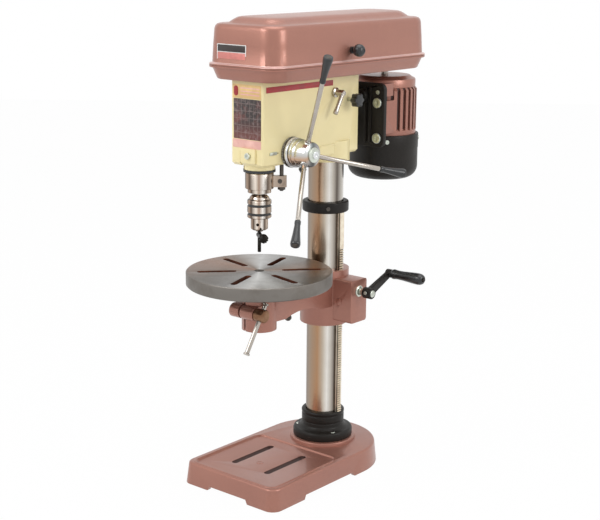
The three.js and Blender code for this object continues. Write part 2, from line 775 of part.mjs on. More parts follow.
function makeClampBar() {
  const [x, y, z] = clampBarCentre();
  const lean = clampScrew.barAngle * degree;
  const above = clampScrew.headRadius + fit + clampScrew.ballRadius;
  const below = clampScrew.barLength - above;
  const ends = [-above, below].map((distance) => ball(
    clampScrew.ballRadius,
    x,
    y - distance * Math.sin(lean),
    z - distance * Math.cos(lean),
  ));
  return join(clampBarRod(clampScrew.barRadius, above, below), ...ends);
}

// Lift gearing inside the bracket, and its crank

function makeWormShaft() {
  const shaftEnd = crankStart + lift.hubLength + lift.shaftProud;
  return turnedX([
    [0, wormStart],
    [lift.wormRadius, wormStart],
    [lift.wormRadius, wormEnd],
    [lift.journalRadius, wormEnd],
    [lift.journalRadius, shaftEnd],
    [0, shaftEnd],
  ], 0, liftZ);
}

function makePinionGear() {
  const outline = gearOutline(lift.gearRadius, lift.gearRadius - lift.gearTooth, lift.gearToothCount);
  const wheel = prismY(outline, -lift.gearWidth / 2, lift.gearWidth / 2).translate(gearX, 0, gearZ);
  const pin = shaftY(lift.pinRadius, -bracket.boxHalfWidth, bracket.boxHalfWidth, gearX, gearZ);
  return join(wheel, pin);
}

function crankEnd() {
  return [lift.armBack, liftZ + lift.armRise];
}

function makeCrankArm() {
  const crankEndX = crankStart + lift.hubLength;
  const hub = shaftX(lift.hubRadius, crankStart, crankEndX, 0, liftZ, roundSteps);
  const arm = prismX(
    bandOutline([0, liftZ], lift.armEndRadius, crankEnd(), lift.armWaist),
    crankArmStart,
    crankArmEnd,
  );
  const [y, z] = crankEnd();
  const boss = shaftX(lift.armEndRadius, crankArmStart, crankArmEnd + lift.armWaist / 2, y, z);
  const pin = shaftX(lift.gripPinRadius, crankArmEnd, crankArmEnd + lift.armWaist + lift.gripLength, y, z);
  const bore = shaftX(clear(lift.journalRadius), crankStart - overrun, crankEndX + overrun, 0, liftZ);
  return cut(join(hub, arm, boss, pin), bore);
}

function makeCrankGrip() {
  const start = crankArmEnd + lift.armWaist / 2 + fit;
  const bore = clear(lift.gripPinRadius);
  const radiusShares = [[0, 0.75], [0.06, 0.9], [0.2, 0.78], [0.7, 1], [0.92, 0.94], [1, 0.7]];
  const wall = radiusShares.map(([along, wide]) => [lift.gripRadius * wide, start + lift.gripLength * along]);
  const [y, z] = crankEnd();
  return turnedX([[bore, start], ...wall, [bore, start + lift.gripLength], [bore, start]], y, z);
}

function makeColumnLock() {
  const root = -columnRadius - fit;
  const end = -hubOuter - bracket.lockBossLength - columnLock.proud;
  const z = lockZ;
  const shaft = shaftX(columnLock.shaftRadius, end, root, 0, z);
  const lean = columnLock.leanAngle * degree;
  const x = end + columnLock.rodRadius;
  const tip = [
    x - columnLock.rodLength * Math.sin(lean),
    0,
    z - columnLock.rodLength * Math.cos(lean),
  ];
  return join(shaft, strut([x, 0, z], tip, columnLock.rodRadius), ball(columnLock.ballRadius, ...tip));
}

// Head casting

function makeHeadCasting() {
  const body = loft([
    { outline: headOutline(head.edge), z: headUnderside },
    { outline: headOutline(0), z: headUnderside + head.edge },
    { outline: headOutline(0), z: headTopZ },
  ]);
  const columnBossRadius = columnRadius + fit + head.columnBossWall;
  const columnBoss = post(columnBossRadius, bossUnderside, headUnderside + head.columnBossRise);
  const quillBossRadius = quillRadius + fit + head.quillBossWall;
  const quillBoss = post(quillBossRadius, bossUnderside, headUnderside + head.edge, 0, spindleY);
  const boreLow = bossUnderside - overrun;
  const columnBore = post(clear(columnRadius, roundSteps), boreLow, columnTopZ + fit);
  const quillBore = post(clear(quillRadius, roundSteps), boreLow, headTopZ + overrun, 0, spindleY);
  const cavityHalf = feed.pinionHalfWidth + feed.cavity;
  const cavityRadius = clear(pinionRadius, roundSteps) + feed.cavity;
  const pinionCavity = shaftX(cavityRadius, -cavityHalf, cavityHalf, feedY, feedZ, roundSteps);
  const across = head.halfWidth + overrun;
  const journalBore = shaftX(clear(feed.journalRadius), -across, across, feedY, feedZ);
  const slit = block(
    -head.slitOffset - head.slitWidth / 2,
    -head.slitOffset + head.slitWidth / 2,
    -throat - head.nose - overrun,
    spindleY,
    boreLow,
    headUnderside + head.slitRise,
  );
  const barBores = [-mount.barOffset, mount.barOffset].map((x) => shaftY(
    clear(mount.barRadius),
    -mount.barReach - mount.boreSpare,
    head.rear + overrun,
    x,
    barZ,
  ));
  const leverBore = shaftX(
    clear(tensionLever.shaftRadius),
    tensionLever.shaftRoot - fit,
    across,
    -tensionLever.forward,
    barZ + tensionLever.rise,
  );
  const knobBore = shaftX(
    clear(tensionKnob.studRadius),
    mount.barOffset,
    across,
    tensionKnob.back,
    barZ,
  );
  return cut(
    join(body, columnBoss, quillBoss),
    columnBore, quillBore, pinionCavity, journalBore, slit, ...barBores, leverBore, knobBore,
  );
}

function headOutline(inset) {
  const corner = Math.max(head.corner - inset, fit);
  return roundedOutline(head.halfWidth - inset, inset - throat - head.nose, head.rear - inset, corner);
}

function makeSpringHousing() {
  const face = -head.halfWidth - fit;
  const outer = face - feed.springDepth;
  const cup = turnedX([
    [0, outer],
    [feed.springRadius - feed.springEdge, outer],
    [feed.springRadius, outer + feed.springEdge],
    [feed.springRadius, face],
    [0, face],
  ], feedY, feedZ, roundSteps);
  const bore = shaftX(clear(feed.journalRadius), outer + feed.springEdge, face + overrun, feedY, feedZ);
  return cut(cup, bore);
}

// Switch box and buttons

function switchFaceX() {
  return -head.halfWidth - fit - switchBox.depth;
}

function buttonHeights() {
  const middle = panUnderside - switchBox.drop - switchBox.height / 2;
  return { start: middle + button.spacing / 2, stop: middle - button.spacing / 2 };
}

function makeSwitchBox() {
  const half = switchBox.length / 2;
  const outline = roundedOutline(
    switchBox.height / 2,
    -switchBox.forward - half,
    -switchBox.forward + half,
    switchBox.edge,
  );
  const middle = panUnderside - switchBox.drop - switchBox.height / 2;
  const box = prism(outline, switchFaceX(), -head.halfWidth - fit)
    .rotateY(quarterTurn)
    .translate(0, 0, middle);
  const pockets = Object.values(buttonHeights()).map((z) => shaftX(
    clear(button.radius),
    switchFaceX() - overrun,
    switchFaceX() + button.pocket + button.height,
    -switchBox.forward,
    z,
  ));
  return cut(box, ...pockets);
}

function makeButton(z) {
  const face = switchFaceX();
  return shaftX(button.radius, face - button.height, face + button.pocket, -switchBox.forward, z);
}

// Belt cover

// The cover's outline drawn in by an inset, its corners tightening with it.
function coverOutline(inset) {
  const narrowing = 1 - inset / cover.halfWidth;
  return roundedOutline(
    cover.halfWidth - inset,
    coverFrontY + inset,
    coverRearY - inset,
    cover.frontCorner * narrowing,
    cover.rearCorner * narrowing,
  );
}

function hingeX() {
  return -cover.halfWidth - hinge.knuckleRadius - hinge.gap;
}

function knuckle(fromY, toY, lowZ, highZ) {
  const barrel = shaftY(hinge.knuckleRadius, fromY, toY, hingeX(), seamZ);
  const leaf = block(hingeX(), cover.flange - cover.halfWidth, fromY, toY, lowZ, highZ);
  return join(barrel, leaf);
}

function hingePlaces() {
  return [hinge.frontPlace, hinge.rearPlace];
}

function pinBore() {
  const reach = coverRearY;
  return shaftY(clear(hinge.pinRadius), -reach, reach, hingeX(), seamZ);
}

function makeBeltPan() {
  const flangeLow = seamZ - cover.flange;
  const outer = loft([
    { outline: coverOutline(cover.panInset), z: panUnderside },
    { outline: coverOutline(cover.wallInset), z: flangeLow },
    { outline: coverOutline(0), z: flangeLow },
    { outline: coverOutline(0), z: seamZ },
  ]);
  const inner = loft([
    { outline: coverOutline(cover.panInset + cover.sheet), z: panUnderside + cover.sheet },
    { outline: coverOutline(cover.wallInset + cover.sheet), z: flangeLow },
    { outline: coverOutline(cover.wallInset + cover.sheet), z: seamZ + overrun },
  ]);
  const spindleHole = post(cover.spindleHoleRadius, panUnderside - overrun, seamZ, 0, spindleY);
  const motorHole = prism(
    bandOutline(
      [0, motorAxisBack - mount.boreSpare],
      cover.motorHoleRadius,
      [0, motorAxisBack],
      cover.motorHoleRadius,
    ),
    panUnderside - overrun,
    seamZ,
  );
  const half = hinge.knuckle / 2;
  const knuckles = hingePlaces().flatMap((place) => [
    knuckle(place - half - hinge.knuckle, place - half - hinge.play, flangeLow, seamZ),
    knuckle(place + half + hinge.play, place + half + hinge.knuckle, flangeLow, seamZ),
  ]);
  const shell = cut(outer, inner, spindleHole, motorHole);
  return cut(join(shell, ...knuckles), pinBore());
}

function makeBeltLid() {
  const foot = seamZ + fit;
  const flangeTop = foot + cover.flange;
  const outer = loft([
    { outline: coverOutline(0), z: foot },
    { outline: coverOutline(0), z: flangeTop },
    { outline: coverOutline(cover.wallInset), z: flangeTop },
    { outline: coverOutline(cover.shoulderInset - cover.sheet), z: shoulderZ - cover.shoulderEdge },
    { outline: coverOutline(cover.shoulderInset + cover.shoulderEdge), z: shoulderZ },
    { outline: coverOutline(cover.ledgeInset), z: shoulderZ + fit },
    { outline: coverOutline(cover.panelInset), z: panelZ },
    { outline: coverOutline(cover.halfWidth * cover.crownShare), z: panelZ + cover.crown },
  ]);
  const inner = loft([
    { outline: coverOutline(cover.wallInset + cover.sheet), z: foot - overrun },
    { outline: coverOutline(cover.wallInset + cover.sheet), z: flangeTop },
    { outline: coverOutline(cover.shoulderInset), z: shoulderZ - cover.shoulderEdge - cover.sheet },
    { outline: coverOutline(cover.ledgeInset), z: shoulderZ - cover.sheet },
    { outline: coverOutline(cover.panelInset + cover.sheet), z: panelZ - cover.sheet },
  ]);
  const half = hinge.knuckle / 2;
  const knuckles = hingePlaces().map((place) => knuckle(place - half, place + half, foot, flangeTop));
  return cut(join(cut(outer, inner), ...knuckles), pinBore());
}

function makeHingePin() {
  const reach = hinge.knuckle + hinge.knuckle / 2;
  return shaftY(hinge.pinRadius, hinge.frontPlace - reach, hinge.rearPlace + reach, hingeX(), seamZ);
}

function makeLidKnob() {
  const z = seamZ + lidKnob.rise;
  const upShare = (lidKnob.rise - cover.flange) / cover.lidHeight;
  const taper = cover.shoulderInset - cover.sheet - cover.wallInset;
  const start = cover.halfWidth - cover.wallInset - taper * upShare + fit;
  const ballX = start + lidKnob.stem + lidKnob.ballRadius - lidKnob.collarRadius / 2;
  const stem = shaftX(lidKnob.stemRadius, start, ballX, lidKnob.along, z);
  const seat = shaftX(lidKnob.collarRadius, start, start + lidKnob.stem / 2, lidKnob.along, z);
  return join(stem, seat, ball(lidKnob.ballRadius, ballX, lidKnob.along, z));
}

// Step pulleys and belts

// A stack of grooves, one for each radius, from the foot upwards.
function stepProfile(radii) {
  return radii.flatMap((radius, level) => {
    const low = pulleyFootZ + level * levelPitch;
    const rim = radius + pulley.rise;
    return [
      [rim, low],
      [rim, low + pulley.web],
      [radius, low + pulley.web],
      [radius, low + levelPitch],
    ];
  });
}

function pulleyTop(radii) {
  return pulleyFootZ + radii.length * levelPitch + pulley.web;
}

function makeStepPulley(radii, bore, y, sleeve = null) {
  const top = pulleyTop(radii);
  const last = radii.at(-1) + pulley.rise;
  const outer = quillRadius - pulley.sleeveInset;
  const lower = sleeve === null
    ? [[bore, pulleyFootZ]]
    : [[bore, sleeve], [outer, sleeve], [outer, pulleyFootZ]];
  const profile = [...lower, ...stepProfile(radii), [last, top - pulley.web], [last, top], [bore, top]];
  return turnedRing(profile, pulleySteps).translate(0, y, 0);
}

function makeBelt(frontY, frontRadius, rearY, rearRadius, level) {
  const low = pulleyFootZ + level * levelPitch + pulley.web + pulley.beltGap;
  const high = low + pulley.groove - 2 * pulley.beltGap;
  const loop = (spare) => bandOutline(
    [0, frontY],
    clear(frontRadius, pulleySteps) + spare,
    [0, rearY],
    clear(rearRadius, pulleySteps) + spare,
    pulleySteps,
  );
  const inner = loop(0);
  const outer = loop(pulley.beltThickness);
  return prism(outer, low, high, [inner]);
}

function makeIdlerArm() {
  const low = panUnderside + cover.sheet + fit;
  const plate = prism(
    bandOutline(
      [0, pulley.idlerBack],
      pulley.armRadius,
      [-pulley.pivotAside, pulley.idlerBack - pulley.pivotForward],
      pulley.pivotRadius,
    ),
    low,
    low + pulley.armThickness,
  );
  const pinTop = pulleyTop(idlerRadii) + pulley.idlerPinProud;
  const pin = post(pulley.idlerPin, low, pinTop, 0, pulley.idlerBack, smallSteps);
  return join(plate, pin);
}

// Motor, its mount and the tensioning pieces

function makeMotorMount() {
  const half = mount.height / 2;
  const outline = roundedOutline(mount.halfWidth, -half, half, mount.corner);
  const plate = prismY(outline, mountFrontY, mountRearY).translate(0, 0, mountLowZ + half);
  const bosses = [-mount.barOffset, mount.barOffset].map((x) => shaftY(
    mount.bossRadius,
    mountFrontY - mount.bossLength,
    mountRearY,
    x,
    barZ,
  ));
  const bores = [-mount.barOffset, mount.barOffset].map((x) => shaftY(
    clear(mount.barRadius),
    mountFrontY - mount.bossLength - overrun,
    mountRearY + overrun,
    x,
    barZ,
  ));
  return cut(join(plate, ...bosses), ...bores);
}

function makeSlideBar(x) {
  return shaftY(mount.barRadius, -mount.barReach, mountRearY, x, barZ);
}

// The motor's ribbed frame, its top bell and the foot that bolts to the mount.
function makeMotorFrame() {
  const finShares = [[0, 0], [0.3, 0], [0.38, 1], [0.92, 1]];
  const ribbed = Array.from({ length: motor.finCount }, (_, fin) => finShares.map(([around, out]) => {
    const angle = ((fin + around) * fullTurn) / motor.finCount;
    const radius = motor.frameRadius - motor.finDepth * (1 - out);
    return new THREE.Vector2(radius * Math.cos(angle), radius * Math.sin(angle));
  })).flat();
  const barrel = prism(ribbed, frameLowZ + fit, frameTopZ);
  const bell = turned([
    [0, frameTopZ - overrun],
    [motor.frameRadius - motor.finDepth, frameTopZ - overrun],
    [motor.frameRadius - motor.finDepth, frameTopZ + overrun],
    [motor.bellRadius, bellTopZ],
    [0, bellTopZ],
  ]);
  const body = join(barrel, bell).translate(0, motorAxisBack, 0);
  const footLow = frameLowZ + motor.footRise;
  const base = block(
    -motor.footHalfWidth,
    motor.footHalfWidth,
    mountRearY + fit,
    motorAxisBack - motor.frameRadius / 2,
    footLow,
    footLow + motor.footHeight,
  );
  const shaftBore = post(
    clear(motor.shaftRadius),
    frameLowZ - overrun,
    bellTopZ + overrun,
    0,
    motorAxisBack,
    smallSteps,
  );
  return cut(join(body, base), shaftBore);
}

function makeTerminalBox() {
  const high = -motor.frameRadius - fit;
  const low = high - motor.boxWidth;
  const half = motor.boxDepth / 2;
  const outline = roundedOutline(motor.boxHeight / 2, -half, half, motor.boxEdge);
  const box = prism(outline, low, high).rotateY(quarterTurn);
  return box.translate(0, motorAxisBack, frameLowZ + motor.boxRise + motor.boxHeight / 2);
}

function makeFanCover() {
  const round = (radius, low, bend) => arc(radius - bend, low + bend, bend, -quarterTurn, 0, cornerSteps)
    .map((point) => [point.x, point.y]);
  const outerRadius = motor.frameRadius + motor.coverSpare;
  const innerRadius = outerRadius - motor.coverSheet;
  const floorTop = coverLowZ + motor.coverSheet;
  const lipRadius = outerRadius - motor.lipWidth;
  const lipLow = frameLowZ - motor.coverSheet;
  const bowl = turned([
    [0, coverLowZ],
    ...round(outerRadius, coverLowZ, motor.coverRound),
    [outerRadius, frameLowZ],
    [lipRadius, frameLowZ],
    [lipRadius, lipLow],
    [innerRadius, lipLow],
    ...round(innerRadius, floorTop, motor.coverRound - motor.coverSheet).reverse(),
    [0, floorTop],
  ]);
  const halfVent = motor.ventWidth / 2;
  const vents = Array.from({ length: motor.ventCount }, (_, vent) => prism(
    bandOutline([motor.ventInner, 0], halfVent, [motor.ventOuter, 0], halfVent, cornerSteps),
    coverLowZ - overrun,
    floorTop + overrun,
  ).rotateZ((vent * fullTurn) / motor.ventCount));
  return cut(bowl, ...vents).translate(0, motorAxisBack, 0);
}

function makeMotorShaft() {
  const low = coverLowZ + motor.shaftGap;
  const top = pulleyTop(motorRadii) + motor.shaftProud;
  return post(motor.shaftRadius, low, top, 0, motorAxisBack, smallSteps);
}

function makeCoolingFan() {
  const top = fanLowZ + motor.fanHeight;
  const hub = post(motor.fanHub, fanLowZ, top);
  const blades = Array.from({ length: motor.bladeCount }, (_, blade) => block(
    0,
    motor.fanRadius,
    -motor.bladeThickness / 2,
    motor.bladeThickness / 2,
    fanLowZ,
    top,
  ).rotateZ((blade * fullTurn) / motor.bladeCount));
  const bore = post(clear(motor.shaftRadius), fanLowZ - overrun, top + overrun, 0, 0, smallSteps);
  return cut(join(hub, ...blades), bore).translate(0, motorAxisBack, 0);
}

function makeTensionLever() {
  const y = -tensionLever.forward;
  const z = barZ + tensionLever.rise;
  const end = head.halfWidth + tensionLever.proud;
  const shaft = shaftX(tensionLever.shaftRadius, tensionLever.shaftRoot, end, y, z);
  const lean = tensionLever.leanAngle * degree;
  const x = end - tensionLever.rodRadius;
  const place = (distance) => [x, y - distance * Math.sin(lean), z - distance * Math.cos(lean)];
  const rod = strut(place(0), place(tensionLever.rodLength), tensionLever.rodRadius);
  const bore = strut(
    place(tensionLever.rodLength - tensionLever.boreDepth),
    place(tensionLever.rodLength + overrun),
    tensionLever.boreRadius,
  );
  return cut(join(shaft, rod), bore);
}

function makeTensionKnob() {
  const knobStart = head.halfWidth + tensionKnob.knobGap;
  const knobEnd = knobStart + tensionKnob.knobLength;
  const root = mount.barOffset + mount.barRadius + fit;
  const y = tensionKnob.back;
  const z = barZ;
  const stud = shaftX(tensionKnob.studRadius, root, knobEnd - fit, y, z);
  const waist = tensionKnob.knobRadius - tensionKnob.lobeDepth;
  const star = gearOutline(tensionKnob.knobRadius, waist, tensionKnob.lobeCount);
  const knob = prismX(star, knobStart, knobEnd).translate(0, y, z);
  return join(stud, knob);
}

// Feed pinion, dial, hub and handles

function makeFeedPinion() {
  const outline = gearOutline(pinionRadius, pinionRadius - feed.pinionTooth, feed.pinionToothCount);
  const wheel = prismX(outline, -feed.pinionHalfWidth, feed.pinionHalfWidth);
  const left = -head.halfWidth - feed.springDepth + feed.springEdge + fit;
  const journal = shaftX(feed.journalRadius, left, hubStart - fit, 0, 0);
  return join(wheel, journal).translate(0, feedY, feedZ);
}

function makeDepthDial() {
  const near = head.halfWidth + fit;
  const far = near + feed.dialThickness;
  const bore = clear(feed.journalRadius, roundSteps);
  return turnedX([
    [bore, near],
    [feed.dialRadius, near],
    [feed.dialRadius, far - feed.dialEdge],
    [feed.dialRadius - feed.dialEdge, far],
    [bore, far],
    [bore, near],
  ], feedY, feedZ, roundSteps);
}

function makeFeedHub() {
  const neckEnd = hubStart + feed.neckLength;
  return turnedX([
    [0, hubStart],
    [feed.hubNeck, hubStart],
    [feed.hubNeck, neckEnd],
    [feed.hubRadius, hubEnd - feed.hubEdge],
    [feed.hubRadius - feed.hubEdge, hubEnd],
    [0, hubEnd],
  ], feedY, feedZ, roundSteps);
}

function makeHubCap() {
  const start = hubEnd + fit;
  return turnedX([
    [0, start],
    [feed.capRadius, start],
    [feed.capRadius, start + feed.capThickness / 2],
    [feed.capRadius - feed.capThickness / 2, start + feed.capThickness],
    [0, start + feed.capThickness],
  ], feedY, feedZ, roundSteps);
}

// A turned form laid out along one feed handle, from the hub's axis outwards.
function alongHandle(profile, handle) {
  const cone = feed.coneAngle * degree;
  const around = feed.firstRodAngle * degree + (handle * fullTurn) / feed.handleCount;
  const heading = new THREE.Vector3(
    Math.sin(cone),
    Math.cos(cone) * Math.cos(around),
    Math.cos(cone) * Math.sin(around),
  );
  const facing = new THREE.Quaternion().setFromUnitVectors(new THREE.Vector3(0, 0, 1), heading);
  return turned(profile, smallSteps).applyQuaternion(facing).translate(hubStart + feed.rodRise, feedY, feedZ);
}

function rodStart() {
  const cone = feed.coneAngle * degree;
  return feed.hubRadius / Math.cos(cone) + feed.rodRadius * Math.tan(cone) + fit;
}

function makeFeedRod(handle) {
  const start = rodStart();
  const end = feed.rodEnd;
  return alongHandle([[0, start], [feed.rodRadius, start], [feed.rodRadius, end], [0, end]], handle);
}

function makeFeedGrip(handle) {
  const start = feed.rodEnd + fit;
  const length = feed.gripLength;
  const wallShares = [[0, feed.gripRoot], [0.12, feed.gripRoot], [0.2, feed.gripWaist], [0.86, feed.gripHead],
    [0.95, feed.gripHead], [1, feed.gripCrown]];
  const wall = wallShares.map(([along, radius]) => [radius, start + length * along]);
  return alongHandle([[0, start], ...wall, [0, start + length]], handle);
}

// Quill, spindle and chuck

function makeQuill() {
  const bore = spindleRadius + quill.boreSpare;
  const sleeve = turnedRing([
    [bore, quillLowZ],
    [quillRadius, quillLowZ],
    [quillRadius, quillTopZ],
    [bore, quillTopZ],
  ]).translate(0, spindleY, 0);
  const rackFoot = feedZ - quill.toothPitch;
  const count = Math.floor((quillTravel + quill.toothSpare) / quill.toothPitch);
  const rearY = spindleY + quillRadius;
  const notches = Array.from({ length: count }, (_, tooth) => {
    const low = rackFoot + tooth * quill.toothPitch;
    const half = feed.pinionHalfWidth;
    return block(-half, half, rearY - quill.toothDepth, rearY + overrun, low, low + quill.toothPitch / 2);
  });
  return cut(sleeve, ...notches);
}

function makeStopCollar() {
  const ring = turnedRing([
    [clear(quillRadius, roundSteps), stopLowZ],
    [stopRadius, stopLowZ],
    [stopRadius, collarTopZ],
    [clear(quillRadius, roundSteps), collarTopZ],
  ]);
  const earLow = stopLowZ + stopCollar.earRise;
  const earTop = earLow + stopCollar.earHeight;
  const ear = block(
    quillRadius + overrun,
    stopRadius + stopCollar.earLength,
    -stopCollar.earWidth / 2,
    stopCollar.earWidth / 2,
    earLow,
    earTop,
  );
  const bore = post(
    clear(stopCollar.rodRadius),
    earLow - overrun,
    earTop + overrun,
    stopRodReach,
    0,
    smallSteps,
  );
  return cut(join(ring, ear), bore).rotateZ(stopCollar.earAngle * degree).translate(0, spindleY, 0);
}

function makeStopRod() {
  const top = headUnderside - fit;
  const low = stopLowZ - stopCollar.rodDrop;
  const rod = post(stopCollar.rodRadius, low, top, stopRodReach, 0, smallSteps);
  return rod.rotateZ(stopCollar.earAngle * degree).translate(0, spindleY, 0);
}

function makeSpindle() {
  const foot = chuckTopZ + fit;
  const noseTop = quillLowZ - fit;
  return turned([
    [0, foot],
    [chuck.spindleNose, foot],
    [chuck.spindleNose, noseTop],
    [spindleRadius, noseTop],
    [spindleRadius, pulleyTop(spindleRadii)],
    [0, pulleyTop(spindleRadii)],
  ]).translate(0, spindleY, 0);
}

function makeChuckBody() {
  const body = turned([
    [0, cavityTopZ],
    [chuck.cavityRadius, cavityTopZ],
    [chuck.cavityRadius, noseLowZ],
    [noseRadius - chuck.noseBevel, noseLowZ],
    [noseRadius, noseLowZ + chuck.noseBevel],
    [noseRadius, sleeveLowZ - fit],
    [coreRadius, sleeveLowZ - fit],
    [coreRadius, sleeveTopZ + fit],
    [chuck.shoulderRadius, sleeveTopZ + fit],
    [chuck.coneRadius, chuckTopZ],
    [0, chuckTopZ],
  ]);
  const keyHoles = Array.from({ length: jaw.count }, (_, hole) => shaftX(
    chuck.keyHoleRadius,
    chuck.cavityRadius - overrun,
    noseRadius + overrun,
    0,
    (noseLowZ + sleeveLowZ) / 2,
    smallSteps / 2,
  ).rotateZ((fullTurn / 2 + hole * fullTurn) / jaw.count));
  return cut(body, ...keyHoles).translate(0, spindleY, 0);
}

function makeChuckSleeve() {
  const bore = clear(coreRadius, roundSteps);
  const inner = sleeveRadius - chuck.ringDepth;
  const rings = Array.from({ length: chuck.ringCount }, (_, ring) => {
    const low = sleeveLowZ + chuck.ringRise + ring * chuck.ringPitch;
    return [
      [sleeveRadius, low],
      [inner, low],
      [inner, low + chuck.ringHeight],
      [sleeveRadius, low + chuck.ringHeight],
    ];
  }).flat();
  return turnedRing([
    [bore, sleeveLowZ],
    [inner, sleeveLowZ],
    [sleeveRadius, sleeveLowZ + chuck.ringDepth],
    ...rings,
    [sleeveRadius, sleeveTopZ - chuck.ringDepth],
    [inner, sleeveTopZ],
    [bore, sleeveTopZ],
  ]).translate(0, spindleY, 0);
}

function makeChuckJaw(index) {
  const inner = chuckKey.barRadius + jaw.play;
  const outer = chuck.cavityRadius - jaw.gap;
  const low = noseLowZ - jaw.proud;
  const outline = [
    new THREE.Vector2(inner, low),
    new THREE.Vector2(inner + jaw.tip / 2, low),
    new THREE.Vector2(outer, low + jaw.tip),
    new THREE.Vector2(outer, cavityTopZ - fit),
    new THREE.Vector2(inner, cavityTopZ - fit),
  ];
  const wedge = prismY(outline, -jaw.width / 2, jaw.width / 2);
  return wedge.rotateZ((index * fullTurn) / jaw.count).translate(0, spindleY, 0);
}

function makeChuckKey() {
  const bar = post(chuckKey.barRadius, keyLowZ, keyTopZ, 0, 0, smallSteps);
  const z = noseLowZ - chuckKey.bodyDrop;
  const headStart = chuckKey.bodyLength - chuckKey.headLength;
  const body = shaftX(chuckKey.bodyRadius, 0, chuckKey.bodyLength, 0, z);
  const root = chuckKey.headRadius - chuckKey.headTooth;
  const outline = gearOutline(chuckKey.headRadius, root, chuckKey.headToothCount);
  const gear = prismX(outline, headStart, chuckKey.bodyLength).translate(0, 0, z);
  return join(bar, body, gear).rotateZ(chuckKey.headingAngle * degree).translate(0, spindleY, 0);
}

// Assembly

function add(group, name, geometry, material) {
  const mesh = new THREE.Mesh(geometry, material);
  mesh.name = name;
  group.add(mesh);
}

function buildStand() {
  const group = new THREE.Group();
  add(group, 'base', makeBase(), roseEnamel);
  add(group, 'column_flange', makeColumnFlange(), blackEnamel);
  add(group, 'column', makeColumn(), groundSteel);
  add(group, 'rack_collar', makeRackCollar(), blackEnamel);
  add(group, 'rack', makeRack(), darkSteel);
  return group;
}

function buildTable() {
  const group = new THREE.Group();
  add(group, 'table_bracket', makeTableBracket(), roseEnamel);
  add(group, 'table', makeTable(), machinedIron);
  add(group, 'clamp_screw', makeClampScrew(), darkSteel);
  add(group, 'clamp_bar', makeClampBar(), chromed);
  add(group, 'worm_shaft', makeWormShaft(), groundSteel);
  add(group, 'pinion_gear', makePinionGear(), darkSteel);
  add(group, 'crank_arm', makeCrankArm(), blackEnamel);
  add(group, 'crank_grip', makeCrankGrip(), blackPlastic);
  add(group, 'column_lock', makeColumnLock(), darkSteel);
  return group;
}

function buildHead() {
  const group = new THREE.Group();
  add(group, 'head_casting', makeHeadCasting(), creamEnamel);
  add(group, 'spring_housing', makeSpringHousing(), blackEnamel);
  add(group, 'switch_box', makeSwitchBox(), blackPlastic);
  add(group, 'start_button', makeButton(buttonHeights().start), greenPlastic);
  add(group, 'stop_button', makeButton(buttonHeights().stop), redPlastic);
  add(group, 'tension_lever', makeTensionLever(), chromed);
  add(group, 'tension_knob', makeTensionKnob(), blackPlastic);
  return group;
}

function buildCover() {
  const group = new THREE.Group();
  add(group, 'belt_pan', makeBeltPan(), roseEnamel);
  add(group, 'belt_lid', makeBeltLid(), roseEnamel);
  add(group, 'lid_hinge_pin', makeHingePin(), zincSteel);
  add(group, 'lid_knob', makeLidKnob(), blackPlastic);
  return group;
}

function buildDrive() {
  const group = new THREE.Group();
  const idlerY = pulley.idlerBack;
  const sleeveLow = quillTopZ + pulley.sleeveGap;
  const spindlePulley = makeStepPulley(spindleRadii, clear(spindleRadius), spindleY, sleeveLow);
  const motorPulley = makeStepPulley(motorRadii, clear(motor.shaftRadius), motorAxisBack);
  add(group, 'spindle_pulley', spindlePulley, zincSteel);
  add(group, 'idler_pulley', makeStepPulley(idlerRadii, clear(pulley.idlerPin), idlerY), zincSteel);
  add(group, 'motor_pulley', motorPulley, zincSteel);
  add(group, 'idler_arm', makeIdlerArm(), darkSteel);
  const [frontDriven, frontDriving] = [spindleRadii[frontBeltCount], idlerRadii[frontBeltCount]];
  const [rearDriven, rearDriving] = [idlerRadii[rearBeltCount], motorRadii[rearBeltCount]];
  const front = makeBelt(spindleY, frontDriven, idlerY, frontDriving, frontBeltCount);
  const rear = makeBelt(idlerY, rearDriven, motorAxisBack, rearDriving, rearBeltCount);
  add(group, 'belt_front', front, rubber);
  add(group, 'belt_rear', rear, rubber);
  return group;
}

function buildMotor() {
  const group = new THREE.Group();
  add(group, 'motor_mount', makeMotorMount(), blackEnamel);
  add(group, 'slide_bar_right', makeSlideBar(mount.barOffset), groundSteel);
  add(group, 'slide_bar_left', makeSlideBar(-mount.barOffset), groundSteel);
  add(group, 'motor_frame', makeMotorFrame(), roseEnamel);
  add(group, 'terminal_box', makeTerminalBox(), blackPlastic);
  add(group, 'fan_cover', makeFanCover(), blackEnamel);
  add(group, 'motor_shaft', makeMotorShaft(), groundSteel);
  add(group, 'cooling_fan', makeCoolingFan(), blackPlastic);
  return group;
}

function buildFeed() {
  const group = new THREE.Group();
  add(group, 'feed_pinion', makeFeedPinion(), darkSteel);
  add(group, 'depth_dial', makeDepthDial(), darkSteel);
  add(group, 'feed_hub', makeFeedHub(), chromed);
  add(group, 'hub_cap', makeHubCap(), zincSteel);
  for (let handle = 0; handle < feed.handleCount; handle += 1) {
    add(group, `feed_rod_${handle + 1}`, makeFeedRod(handle), chromed);
    add(group, `feed_grip_${handle + 1}`, makeFeedGrip(handle), blackPlastic);
  }
  return group;
}

function buildSpindle() {
  const group = new THREE.Group();
  add(group, 'quill', makeQuill(), groundSteel);
  add(group, 'stop_collar', makeStopCollar(), groundSteel);
  add(group, 'stop_rod', makeStopRod(), darkSteel);
  add(group, 'spindle', makeSpindle(), groundSteel);
  add(group, 'chuck_body', makeChuckBody(), chromed);
  add(group, 'chuck_sleeve', makeChuckSleeve(), chromed);
  for (let index = 0; index < jaw.count; index += 1) {
    add(group, `chuck_jaw_${index + 1}`, makeChuckJaw(index), darkSteel);
  }
  add(group, 'chuck_key', makeChuckKey(), darkSteel);
  return group;
}

